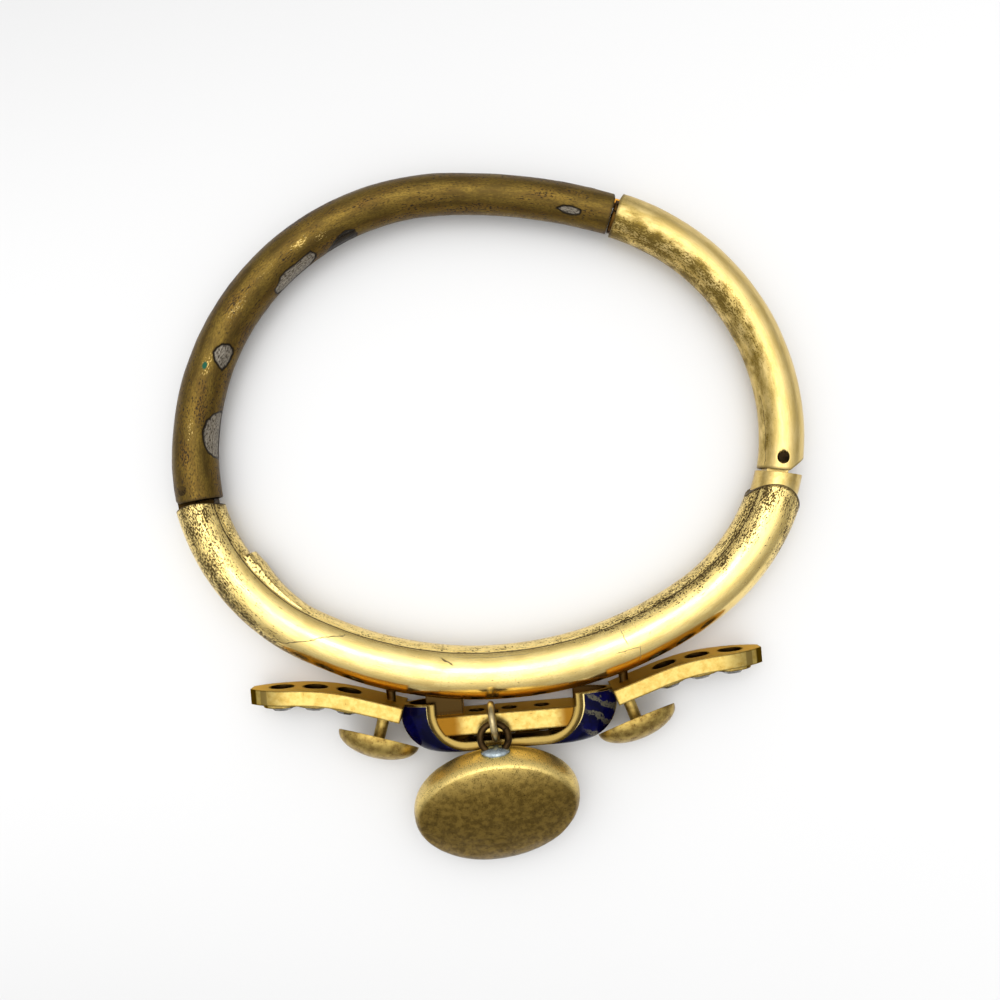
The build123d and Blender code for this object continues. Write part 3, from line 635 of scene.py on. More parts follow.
@dataclass(frozen=True)
class PlanFrame:
    """Frame in plan across a tube: out of the loop and along the tube."""

    origin: tuple[float, float]
    out_angle: float
    along_angle: float

    def local(self, points: Array) -> tuple[Array, Array]:
        """Turn places into distances out of the loop and along the tube."""
        off = points - np.array([*self.origin, 0.0])
        return off @ heading(self.out_angle), off @ heading(self.along_angle)

    def world(self, out: float, along: float, up: float = 0.0) -> Array:
        """Turn distances in the frame into a place in the part's frame."""
        return (np.array([*self.origin, 0.0]) + LOOP_CENTRE + heading(self.out_angle) * out
                + heading(self.along_angle) * along + np.array([0.0, 0.0, up]))


END_LEFT = (-9.78572, 0.0)
END_RIGHT = (9.78572, 0.0)
RIGHT_MIDDLE = (6.56219, -0.11929)
FRONT_PATH = PlanPath((PlanArc(END_LEFT, 21.9, 190.486, 48.514), PlanArc((0.0, 16.2862), 40.9, 239.0, 62.0),
                       PlanArc(END_RIGHT, 21.9, 301.0, 40.1)))
LEFT_PATH = PlanPath((PlanArc((-3.393, -0.9158), 28.0, 183.0, -60.0),
                      PlanArc((-3.6316, -0.5485), 27.562, 123.0, -36.0872),
                      PlanArc((-5.3476, -32.3663), 59.4261, 86.9128, -17.1836)))
RIGHT_PATH = PlanPath((PlanArc(RIGHT_MIDDLE, 25.05, -9.5, 78.2),))
LEFT_HINGE = PlanFrame(polar(END_LEFT, 22.8, 186.3), 186.3, 96.3)
RIGHT_HINGE = PlanFrame(polar(END_RIGHT, 21.6, -11.2), -11.2, 78.8)
MOUTH = PlanFrame(polar(END_RIGHT, 21.9, -18.9), -18.9, 71.1)
RIGHT_CLASP = PlanFrame(polar(RIGHT_MIDDLE, 25.05, 68.7), 68.7, 158.7)
LEFT_CLASP = PlanFrame(polar(RIGHT_MIDDLE, 25.05, 69.72927), 69.72927, -20.27073)


class End(Enum):
    """Kinds of tube end."""

    HINGE = "cut square at the hinge, with its outer corner cut at a slope"
    CLASP = "cut square at the clasp, with a V at its outer edge"
    SLOTTED = "as at the clasp, with a slot for the tongue"
    BULGED = "bulging in plan"


@dataclass(frozen=True)
class TubeEnd:
    """Where and how a tube ends."""

    kind: End
    place: PlanFrame
    half: float = 2.5
    bulge: float = 0.0
    shift: float = 0.0
    offset: float = 0.0
    hinge_gap: float = 1.3
    corner_slope: float = 40.0
    corner_gap: float = 1.555
    v_start: float = 1.2
    v_share: float = 0.22
    slot_half: float = 1.02
    slot_from: float = 1.0
    slot_depth: float = 2.24

    def beyond(self, points: Array) -> Array:
        """How far places lie past the end.

        Args:
            points: Places in millimetres.

        Returns:
            Distances, positive where the metal is cut away.
        """
        out, along = self.place.local(points)
        if self.kind is End.HINGE:
            slope = math.radians(self.corner_slope)
            corner = out * math.sin(slope) - along * math.cos(slope) - self.corner_gap
            return np.maximum(-self.hinge_gap - along, corner)
        if self.kind is End.BULGED:
            radius = (self.half ** 2 + self.bulge ** 2) / (2 * self.bulge)
            round_cut = np.hypot(out - self.shift, along - self.offset + radius) - radius
            return np.minimum(round_cut, along - self.offset + self.bulge)
        cut = np.maximum(along, along + (out - self.v_start) * self.v_share)
        if self.kind is End.SLOTTED:
            slot = (np.abs(points[..., 2]) < self.slot_half) & (out > self.slot_from)
            cut = np.where(slot, along + self.slot_depth, cut)
        return cut


@dataclass
class TubeShell:
    """Hollow bent tube with fine vertices, cut at both ends and lined a little way in."""

    name: str
    body: str
    path: PlanPath
    radius: Callable[[Array], Array]
    first_end: TubeEnd
    last_end: TubeEnd
    wall: float = 0.35
    pitch: float = 0.17
    fine_lengths: tuple[tuple[float, float, float], ...] = ()
    fine_angles: tuple[tuple[float, float, float], ...] = ()
    relief: Callable[[Array, Array, Array], Array] | None = None
    shift: Callable[[Array], Array] | None = None
    liner: float = 4.0
    liner_steps: tuple[float, ...] = (0.0, 0.5, 1.5)
    end_reach: float = 7.0
    search: float = 3.5
    lip: float = 0.06
    lip_drop: float = 0.05
    lengths: Array = field(default_factory=lambda: np.zeros(0))
    angles: Array = field(default_factory=lambda: np.zeros(0))
    extra: int = 0

    @staticmethod
    def spaced(low: float, high: float, pitch: float, fine: Sequence[tuple[float, float, float]]) -> Array:
        """Step from one value to another, more finely near given places.

        Args:
            low: The first value.
            high: The last value.
            pitch: The usual step.
            fine: Places with their reach and their smaller step.

        Returns:
            The stepped values, with both ends.
        """
        values = [low]
        while values[-1] < high - 1e-6:
            step = min([pitch] + [s for place, reach, s in fine if abs(values[-1] - place) < reach])
            values.append(values[-1] + step)
        marks = np.array(values)
        return low + (marks - low) * (high - low) / (marks[-1] - low)

    def surface(self, length: Array, angle: Array, inset: float) -> tuple[Array, Array]:
        """Places on the tube, in the loop's own frame.

        Args:
            length: Lengths along the centreline.
            angle: Angles round the section, nought out of the loop and ninety up.
            inset: How far inside the outer surface.

        Returns:
            The places in millimetres and the directions out of the surface.
        """
        middle, out = self.path.frames(length)
        if self.shift is not None:
            middle = middle + out * self.shift(length)[..., None]
        turn = np.radians(angle)[..., None]
        normal = np.cos(turn) * out + np.sin(turn) * UP
        return middle + (self.radius(length) - inset)[..., None] * normal, normal

    def end_length(self, end: TubeEnd, angle: Array, inset: float, first: bool) -> Array:
        """Find where each line along the tube meets an end by halving.

        Args:
            end: The end that cuts the tube.
            angle: The lines' angles.
            inset: How far inside the outer surface they run.
            first: Whether it is the first end.

        Returns:
            The length along the centreline where each line ends.
        """
        whole = self.path.length
        outer = np.full(angle.shape, -self.search if first else whole + self.search)
        inner = np.full(angle.shape, self.end_reach if first else whole - self.end_reach)
        for _ in range(30):
            middle = (outer + inner) / 2
            gone = end.beyond(self.surface(middle, angle, inset)[0]) > 0
            outer = np.where(gone, middle, outer)
            inner = np.where(gone, inner, middle)
        return inner

    def build(self, material: bpy.types.Material) -> Piece:
        """Make the tube's mesh with its sheet coordinates.

        Args:
            material: The tube's finish.

        Returns:
            The tube's object.
        """
        whole = self.path.length
        middle_radius = float(self.radius(np.array(whole / 2)))
        marks = self.spaced(0.0, whole, self.pitch, self.fine_lengths)
        angles = self.spaced(-90.0, 270.0, math.degrees(self.pitch / middle_radius), self.fine_angles)
        lines, turned = angles[:-1], angles[1:]
        first = self.end_length(self.first_end, lines, 0.0, True)
        last = self.end_length(self.last_end, lines, 0.0, False)
        # Rows near an end are drawn in to its cut, and the rest stay where they are
        near = np.clip(1 - marks / self.end_reach, 0, 1)[:, None]
        far = np.clip(1 - (whole - marks) / self.end_reach, 0, 1)[:, None]
        grid = marks[:, None] + near * first[None, :] + far * (last[None, :] - whole)
        grid += np.where(near == 1, self.lip, 0) - np.where(far == 1, self.lip, 0)
        rows_s = np.vstack([first[None, :], grid, last[None, :]])
        rows_a = np.broadcast_to(lines[None, :], rows_s.shape)
        lift = np.zeros_like(rows_s)
        lift[0] = lift[-1] = -self.lip_drop
        points, normal = self.surface(rows_s, rows_a, 0.0)
        if self.relief is not None:
            lift = lift + self.relief(rows_s, rows_a, points)
        points = points + normal * lift[..., None]
        self.lengths, self.angles = rows_s, rows_a
        count, around = rows_s.shape
        vertices, faces, sheet = [points.reshape(-1, 3)], [], []
        ring = np.arange(around)
        after = (ring + 1) % around
        girth = math.radians(1.0) * middle_radius

        def join(low: Array, high: Array, low_s: Array, high_s: Array) -> None:
            """Join two rings of vertices with faces and their sheet coordinates.

            Args:
                low: Vertex numbers of the ring nearer the first end.
                high: Vertex numbers of the other ring.
                low_s: Lengths along the tube of the first ring.
                high_s: Lengths along the tube of the other ring.
            """
            faces.extend(np.stack([low[ring], low[after], high[after], high[ring]], axis=1).tolist())
            u = np.stack([low_s[ring], low_s[after], high_s[after], high_s[ring]], axis=1) / 100
            v = np.stack([lines, turned, turned, lines], axis=1) * girth / 100
            sheet.append(np.stack([u, v], axis=-1).reshape(-1, 2))

        numbers = np.arange(count * around).reshape(count, around)
        for i in range(count - 1):
            join(numbers[i], numbers[i + 1], rows_s[i], rows_s[i + 1])
        total = count * around
        for end, edge_row, sign in ((self.first_end, 0, 1), (self.last_end, count - 1, -1)):
            inner = self.end_length(end, lines, self.wall, sign == 1)
            deepest = float(inner.mean()) + sign * self.liner
            lower, lower_s = numbers[edge_row], rows_s[edge_row]
            for depth in (*self.liner_steps, self.liner):
                level = inner * (1 - depth / self.liner) + deepest * depth / self.liner
                level = np.where(sign * (level - inner) < 0, inner, level)
                vertices.append(self.surface(level, lines, self.wall)[0])
                upper = np.arange(total, total + around)
                total += around
                if sign == 1:
                    join(upper, lower, level, lower_s)
                else:
                    join(lower, upper, lower_s, level)
                lower, lower_s = upper, level
            cap = lower.tolist()
            faces.append(cap if sign == -1 else cap[::-1])
            sheet.append(np.zeros((around, 2)))
        piece = new_object(self.name, np.vstack(vertices) + LOOP_CENTRE, faces, self.body, material)
        layer = piece.data.uv_layers.new(name="sheet")
        layer.data.foreach_set("uv", np.vstack(sheet).astype(np.float32).ravel())
        self.extra = total - count * around
        return piece

    def put(self, piece: Piece, name: str, values: Array | float, inside: float) -> None:
        """Store a value that the finish reads for each vertex of the outer surface, and one value for the rest.

        Args:
            piece: The tube's object.
            name: The value's name.
            values: One number for each outer vertex by row and column, or one for all.
            inside: The number for the ends and the liner.
        """
        spread = np.broadcast_to(values, self.lengths.shape).ravel()
        whole = np.concatenate([spread, np.full(self.extra, inside)])
        piece.data.attributes.new(name, "FLOAT", "POINT").data.foreach_set("value", whole.astype(np.float32))

    def end_distance(self) -> Array:
        """Distance of each outer vertex from the nearer end of its line."""
        return np.minimum(self.lengths - self.lengths[:1], self.lengths[-1:] - self.lengths)


def prism(name: str, frame_at: PlanFrame, outline: Sequence[tuple[float, float]], half: float, carrier: Piece,
          body: str, material: bpy.types.Material) -> None:
    """Make a flat plate over an outline in plan.

    Args:
        name: The piece's name.
        frame_at: The frame that the outline is drawn in.
        outline: Corners as distances out of the loop and along the tube, anticlockwise.
        half: Half the plate's height.
        carrier: The piece that it belongs to.
        body: The CAD body that carries it.
        material: Its finish.
    """
    count = len(outline)
    points = [frame_at.world(x, y, z) for z in (-half, half) for x, y in outline]
    faces = [[i, (i + 1) % count, count + (i + 1) % count, count + i] for i in range(count)]
    faces += [list(range(count))[::-1], list(range(count, 2 * count))]
    plate = new_object(name, np.array(points), faces, body, material)
    plate.data.shade_flat()
    plate.parent = carrier


@dataclass
class FrontTube:
    """Bright gilt front tube with its inner strip, raised step, left hinge lug and polished wear."""

    left_thickness: float = 5.1
    mouth_thickness: float = 5.8
    middle_thickness: float = 5.75
    mouth_shift: float = 0.12
    mouth_flare: float = 12.0
    strip_half_angle: float = 31.0
    strip_edge: float = 1.2
    strip_proud: float = 0.1
    step_start: float = 7.8
    step_length: float = 9.5
    step_proud: float = 0.75
    girth_radius: float = 2.8
    mark_radii: tuple[float, float] = (2.6, 2.7)
    seam_at: float = 141.0
    dent: tuple[float, float, float, float, float] = (34.2, 126.0, 0.9, 1.2, 0.10)
    lug_half: float = 1.1
    lug_radius: float = 1.0
    lug_root: float = 3.1
    shoulder: tuple[float, float, float] = (-2.827, -0.35, -1.36)
    # Length and girth of both ends, half the width and darkness of each scratch
    scratches: tuple = (((16.1, 1.96), (20.2, 5.08), 0.08, 0.75), ((20.2, 5.08), (22.9, 6.7), 0.08, 0.75),
                        ((53.8, 6.25), (53.9, 4.6), 0.07, 0.6), ((52.5, 4.2), (55.0, 3.9), 0.06, 0.6),
                        ((55.0, 3.9), (54.5, 2.4), 0.06, 0.6), ((33.6, 6.5), (35.0, 5.7), 0.12, 0.8),
                        ((35.1, 6.6), (43.5, 6.65), 0.06, 0.55))
    # Tarnished places near the left end and near the mouth
    left_marks: tuple = ((0.0, 75, 3.0, 3.0, 0.3), (5.0, 68, 6.0, 1.6, 0.4), (11.0, 48, 6.0, 1.7, 0.5),
                         (17.0, 25, 6.0, 1.3, 0.45), (4.0, 120, 7.0, 1.2, 0.3))
    right_marks: tuple = ((77.0, 80, 2.0, 3.0, 0.3), (74.0, 118, 5.0, 1.1, 0.4), (66.0, 128, 8.0, 1.1, 0.38),
                          (56.0, 136, 9.0, 0.9, 0.38), (73.0, 32, 4.5, 1.5, 0.5))

    def radius(self, length: Array) -> Array:
        """Outer radius along the tube, which swells towards the middle.

        Args:
            length: Lengths along the tube.

        Returns:
            Radii in millimetres.
        """
        share = np.clip(length / FRONT_PATH.length, 0, 1)
        ends = self.left_thickness + (self.mouth_thickness - self.left_thickness) * share
        swell = self.middle_thickness - (self.left_thickness + self.mouth_thickness) / 2
        return (ends + swell * np.sin(math.pi * share)) / 2

    def outward(self, length: Array) -> Array:
        """How far the thick-walled mouth stands out of the loop."""
        return self.mouth_shift * np.clip(1 - (FRONT_PATH.length - length) / self.mouth_flare, 0, 1)

    def relief(self, length: Array, angle: Array, points: Array) -> Array:
        """Height of the strip, its step, the dent and the small unevenness of worn metal.

        Args:
            length: Lengths along the tube.
            angle: Angles round it.
            points: Places of the smooth surface.

        Returns:
            How far each place stands off the smooth surface, in millimetres.
        """
        share = (length - self.step_start) / self.step_length
        rise = np.interp(share, [-0.03, 0.0, 0.2, 0.6, 1.0], [0.0, 0.8, 1.0, 0.45, 0.0])
        off = np.abs(angle - 180.0)
        strip = smooth((self.strip_half_angle - off) / (self.strip_edge + 10.0 * rise) + 0.5)
        lift = strip * (self.strip_proud * 0.5 + self.step_proud * rise) * -np.cos(np.radians(angle))
        s, a, reach_s, reach_a, depth = self.dent
        across = np.radians(angle - a) * self.girth_radius
        lift -= depth * np.exp(-((length - s) / reach_s) ** 2 - (across / reach_a) ** 2)
        return lift + 0.012 * ripple(points, 7.0, 3) + 0.003 * ripple(points, 1.6, 4) - 0.015

    def build(self) -> Piece:
        """Make the tube and its lug.

        Returns:
            The tube's object.
        """
        # Gilt brass, polished: mirror bright in the middle, with fine dark specks and lines near the ends
        finish = TubeMetal("polished gilt brass worn at the ends", bright="#FFE496", deep="#F2D484",
                           haze="#B89E5C", tarnish="#4C3C18", rough=0.17, speck_mm=0.14, speck_base=0.66,
                           streak=1.9, patchy=0.42, lined=0.55, bump_mm=0.008,
                           seam_angle=math.radians(self.seam_at) * self.girth_radius, seam_bend=0.35,
                           seam_length=78.0, scratches=self.scratches, rim_mm=0.5, end_shadow_and_tarnish=0.85)
        shell = TubeShell("front_tube_shell", "front", FRONT_PATH, self.radius,
                          TubeEnd(End.BULGED, LEFT_HINGE, 2.55, 0.5, -0.9, -1.6),
                          TubeEnd(End.BULGED, MOUTH, 2.9, 1.8), wall=0.35, relief=self.relief,
                          shift=self.outward, fine_angles=((149.0, 3.0, 0.6), (211.0, 3.0, 0.6)),
                          fine_lengths=((7.8, 0.6, 0.06),))
        piece = shell.build(finish.build())
        s, a = shell.lengths, shell.angles
        whole = FRONT_PATH.length
        left_radius, right_radius = self.mark_radii
        age = spots(s, a, left_radius, self.left_marks) + spots(s, a, right_radius, self.right_marks) + 0.11
        # Tarnish grows on the wrist side, underneath and towards both ends
        age += smooth((a - 122) / 34) * smooth((235 - a) / 20) * 0.37
        # A little more darkening round the raised step is painted shade of the step
        age += 0.06 * smooth((s - 7.6) / 0.3) * smooth((18.5 - s) / 6.0) * smooth((a - 138) / 8) * smooth(
            (222 - a) / 8)
        age += np.where((a < 15) | (a > 200), 0.15, 0.0)
        age += 0.17 * np.exp(-s / 9.0) + 0.17 * np.exp((s - whole) / 8.0)
        shell.put(piece, "age", np.clip(age, 0, 0.8), 0.9)
        shell.put(piece, "rub", spots(s, a, right_radius, [(40, 75, 30, 1.5, 0.3)]), 0.0)
        shell.put(piece, "bare", -2.0, -2.0)
        shell.put(piece, "edge", shell.end_distance() * np.where(s > whole / 2, 1.0, 2.5), 0.0)
        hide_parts("front_tube")
        # Gilding inside the hinge, coloured nearly black with no shine: painted shade of the hinge gap
        dark = CastMetal("gilding darkened inside the hinge", bright="#3A2A12", deep="#281C0B", tarnish="#140D05",
                         rough=0.55, cover_share=0.5).build()
        radius = self.lug_radius
        eye = [(-radius, -self.lug_root), (radius, -self.lug_root)]
        eye += [(radius * math.cos(t), radius * math.sin(t)) for t in np.linspace(0, math.pi, 25)]
        prism("left_hinge_lug", LEFT_HINGE, eye, self.lug_half, piece, "front", dark)
        near, far, top = self.shoulder
        plate = [(near, -self.lug_root), (far, -self.lug_root), (far, top), (near, top)]
        prism("left_hinge_shoulder", LEFT_HINGE, plate, self.lug_half - 0.01, piece, "front", dark)
        return piece


@dataclass
class LeftArm:
    """Brown arm whose gilding has turned: streaks, brassy rubs and grey bare patches."""

    thickness: float = 5.0
    clasp_thickness: float = 4.4
    patch_depth: float = 0.07
    patch_radius: float = 2.4
    dark_patch: int = 3
    # Length in millimetres and angle in degrees of each corner of each bare patch
    patches: tuple = (
        ((14.8, 100), (15.4, 102), (16.0, 112), (16.3, 128), (16.1, 146), (15.6, 152), (14.8, 151), (14.0, 147),
         (13.4, 137), (13.7, 126), (14.0, 113)),
        ((8.8, 171), (8.3, 146), (7.5, 129), (6.3, 123), (5.5, 124), (4.6, 129), (3.8, 140), (3.3, 159), (3.2, 190),
         (8.6, 190)),
        ((24.3, 155), (25.2, 148), (25.8, 136), (26.9, 135), (28.1, 139), (29.3, 137), (30.4, 136), (30.7, 156),
         (30.0, 175), (29.1, 195), (25.0, 195), (24.2, 175)),
        ((31.8, 182), (32.6, 162), (33.6, 148), (34.9, 138), (35.8, 146), (36.0, 168), (35.4, 192), (33.2, 192)),
        ((58.7, 122), (59.3, 112), (60.3, 109), (61.2, 115), (61.2, 126), (60.4, 134), (59.4, 133)))
    # Places rubbed back to brass, and the green spot
    rubs: tuple = ((19.9, 99, 1.6, 0.6, 0.5), (13.2, 97, 1.6, 0.6, 0.45), (29.9, 103, 1.1, 0.5, 0.45),
                   (32.3, 119, 0.9, 0.5, 0.4), (6.2, 91, 1.4, 0.5, 0.38), (26.0, 100, 6.0, 0.5, 0.22),
                   (55.0, 178, 9.0, 0.8, 0.45))
    green: tuple = ((13.2, 92, 0.45, 0.28, 1.0),)

    def radius(self, length: Array) -> Array:
        """Outer radius along the arm, which tapers towards the clasp."""
        share = np.clip(length / LEFT_PATH.length, 0, 1)
        return (self.thickness + (self.clasp_thickness - self.thickness) * np.sin(math.pi / 2 * share)) / 2

    def patch_distance(self, length: Array, angle: Array) -> Array:
        """Signed distance to the nearest bare patch, positive inside it.

        Args:
            length: Lengths along the arm.
            angle: Angles round it.

        Returns:
            Distances in millimetres.
        """
        turned = np.where(angle < -10, angle + 360, angle)
        points = np.stack([length, np.radians(turned) * self.patch_radius], axis=-1)
        best = np.full(length.shape, -5.0)
        for number, outline in enumerate(self.patches):
            inside = inside_distance(points, [(s, math.radians(a) * self.patch_radius) for s, a in outline])
            # The dark patch is dirt like a patch's outline, with no bare metal in it
            best = np.maximum(best, np.minimum(inside, 0.02) if number == self.dark_patch else inside)
        return best

    def relief(self, length: Array, angle: Array, points: Array) -> Array:
        """Height of the eaten patches and the uneven surface.

        Args:
            length: Lengths along the arm.
            angle: Angles round it.
            points: Places of the smooth surface.

        Returns:
            How far each place stands off the smooth surface, in millimetres.
        """
        lift = -self.patch_depth * smooth((self.patch_distance(length, angle) + 0.05) / 0.15)
        return lift + 0.014 * ripple(points, 5.0, 13) + 0.006 * ripple(points, 1.2, 14) - 0.045

    def build(self) -> Piece:
        """Make the arm.

        Returns:
            The arm's object.
        """
        # Brass, drawn and toned by age: dull brown with streaks along it, brassy rubs and pitted grey patches
        finish = TubeMetal("brown toned brass rubbed and pitted", bright="#786228", deep="#4E3E1A",
                           tarnish="#2A200C", haze="#7A5222", rub="#CDAF66", bare="#8A8274", rough=0.38,
                           tarnish_rough=0.5, metal=0.9, speck_mm=0.14, speck_base=0.66, streak=2.4,
                           patchy=0.45, lined=0.6, grainy=0.6, mottle=(0.3, 0.7), bump_mm=0.016)
        shell = TubeShell("left_arm_shell", "left_arm", LEFT_PATH, self.radius, TubeEnd(End.HINGE, LEFT_HINGE),
                          TubeEnd(End.SLOTTED, LEFT_CLASP), relief=self.relief, pitch=0.15,
                          fine_angles=((24.9, 2.5, 0.7), (-24.9, 2.5, 0.7)))
        piece = shell.build(finish.build())
        s, a = shell.lengths, shell.angles
        # The brown is darkest on the outer side, a little darker on the wrist side, and streaky along the arm
        streaks = ripple(np.stack([s, np.radians(a) * self.patch_radius * 3], -1), 9.0, 5)
        age = 0.33 + 0.16 * smooth((a - 120) / 45) * smooth((240 - a) / 30)
        age = np.clip(age + 0.35 * smooth((60 - np.abs(a)) / 40) + 0.12 * streaks, 0, 1)
        shell.put(piece, "age", age, 0.9)
        shell.put(piece, "rub", spots(s, a, self.patch_radius, self.rubs), 0.0)
        shell.put(piece, "green", spots(s, a, self.patch_radius, self.green), 0.0)
        shell.put(piece, "bare", self.patch_distance(s, a), -2.0)
        shell.put(piece, "edge", shell.end_distance(), 0.0)
        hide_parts("left_arm")
        return piece


@dataclass
class RightArm:
    """Satin gold arm with its tongue, a sunk rivet and tarnish on its wrist side."""

    thickness: float = 4.8
    hole_radius: float = 0.6
    hole_depth: float = 0.6
    tongue: tuple[float, float, float, float, float] = (1.0, 1.5, -2.0, 2.45, 0.9)
    plug: tuple[float, float, float, float] = (1.8, 0.2, -0.8, 0.33)
    plug_steps: int = 72
    scratches: tuple = (((-1.0, 6.1), (7.0, 6.4), 0.06, 0.7),)
    rubs: tuple = ((18, 95, 14.0, 0.5, 0.7),)

    def radius(self, length: Array) -> Array:
        """Outer radius, the same all along."""
        return np.full(np.shape(length), self.thickness / 2)

    def relief(self, length: Array, angle: Array, points: Array) -> Array:
        """Depth of the rivet's hole at both sides, and the uneven surface.

        Args:
            length: Lengths along the arm; not used.
            angle: Angles round it; not used.
            points: Places of the smooth surface.

        Returns:
            How far each place stands off the smooth surface, in millimetres.
        """
        reach = np.hypot(*RIGHT_HINGE.local(points))
        hole = smooth((self.hole_radius + 0.04 - reach) / 0.08) * (np.abs(points[..., 2]) > 1.0)
        return 0.010 * ripple(points, 5.0, 23) + 0.003 * ripple(points, 1.3, 24) - 0.03 - self.hole_depth * hole

    def build(self) -> Piece:
        """Make the arm and its tongue.

        Returns:
            The arm's object.
        """
        # Gilt brass, brushed: satin yellow gold, with an olive film of tarnish on the wrist side
        finish = TubeMetal("brushed gilt with tarnished wrist side", bright="#E6CC88", deep="#D8BC72",
                           tarnish="#6A561F", haze="#7E6828", rough=0.32, tarnish_rough=0.45, speck_mm=0.15,
                           speck_base=0.7, streak=1.9, patchy=0.45, lined=0.5, grainy=0.25, bump_mm=0.01,
                           veil=(0.5, 1.0), scratches=self.scratches)
        shell = TubeShell("right_arm_shell", "right_arm", RIGHT_PATH, self.radius, TubeEnd(End.HINGE, RIGHT_HINGE),
                          TubeEnd(End.CLASP, RIGHT_CLASP), relief=self.relief, pitch=0.15,
                          fine_lengths=((0.0, 1.0, 0.06),), fine_angles=((98.0, 17.0, 1.4), (-82.0, 17.0, 1.4)))
        piece = shell.build(finish.build())
        s, a = shell.lengths, shell.angles
        whole = RIGHT_PATH.length
        marks = ((whole, 90, 5.0, 3.5, 0.25), (3.0, 150, 3.0, 0.8, 0.3), (20.0, 112, 9.0, 0.7, 0.25))
        # The olive film lies on the wrist side and thickens towards the clasp
        inner = smooth((a - 92) / 35) * smooth((230 - a) / 30)
        radius = self.thickness / 2
        age = inner * (0.1 + 0.5 * smooth((s - 2) / (whole * 0.55))) + 0.16 + spots(s, a, radius, marks)
        shell.put(piece, "age", np.clip(age, 0, 0.85), 0.9)
        shell.put(piece, "rub", spots(s, a, radius, self.rubs), 0.0)
        shell.put(piece, "bare", -2.0, -2.0)
        shell.put(piece, "edge", shell.end_distance(), 0.0)
        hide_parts("right_arm")
        self.add_tongue(piece)
        return piece

    def add_tongue(self, arm: Piece) -> None:
        """Make the flat tongue that slides into the left arm, and the plug that it is soldered in.

        Args:
            arm: The arm that carries it.
        """
        inner, outer, low, high, half = self.tongue
        # Brass, cut and filed: plain orange-yellow metal
        material = CastMetal("plain brass tongue", bright="#C98F3A", deep="#9A6A28", rough=0.3, cover_share=0.3)
        blade = [(inner, low), (outer, low), (outer, high), (inner, high)]
        prism("clasp_tongue", RIGHT_CLASP, blade, half, arm, "right_arm", material.build())
        # Solder and brass, coloured dull dark brown: painted shade of the deep slit at the clasp
        dark = CastMetal("dark end plug", bright="#6A4A1E", deep="#3A2812", tarnish="#1A1208", rough=0.5,
                         cover_share=0.5).build()
        radius, shift, low, high = self.plug
        turn = np.linspace(0, 2 * math.pi, self.plug_steps, endpoint=False)[:, None]
        rings = [RIGHT_CLASP.world(-shift, y) + r * (np.cos(turn) * heading(RIGHT_CLASP.out_angle)
                                                     + np.sin(turn) * UP)
                 for y, r in ((low, radius), (high - 0.05, radius), (high, radius - 0.05))]
        number = np.arange(3 * self.plug_steps).reshape(3, self.plug_steps)
        faces = quads(number).tolist() + [number[0].tolist(), number[-1].tolist()[::-1]]
        new_object("clasp_plug", np.vstack(rings), faces, "right_arm", dark).parent = arm


@dataclass
class Ring:
    """Ring of round wire with slightly uneven thickness."""

    middle: Array
    across: Array
    up: Array
    radius: float
    wire: float
    seed: int
    counts: tuple[int, int]
    uneven: float = 0.012

    def shape(self) -> tuple[Array, list]:
        """Work out the ring.

        Returns:
            Vertices and faces.
        """
        turn = np.linspace(0, 2 * math.pi, self.counts[0], endpoint=False)[:, None, None]
        small = np.linspace(0, 2 * math.pi, self.counts[1], endpoint=False)[None, :, None]
        out = np.cos(turn) * self.across + np.sin(turn) * self.up
        normal = np.cos(small) * out + np.sin(small) * np.cross(self.across, self.up)
        points = self.middle + out * self.radius + normal * self.wire
        points = points + normal * (self.uneven * (ripple(points, 1.4, self.seed) - 1.0))[..., None]
        faces = quads(np.arange(self.counts[0] * self.counts[1]).reshape(self.counts), close_rows=True)
        return points.reshape(-1, 3), faces.tolist()


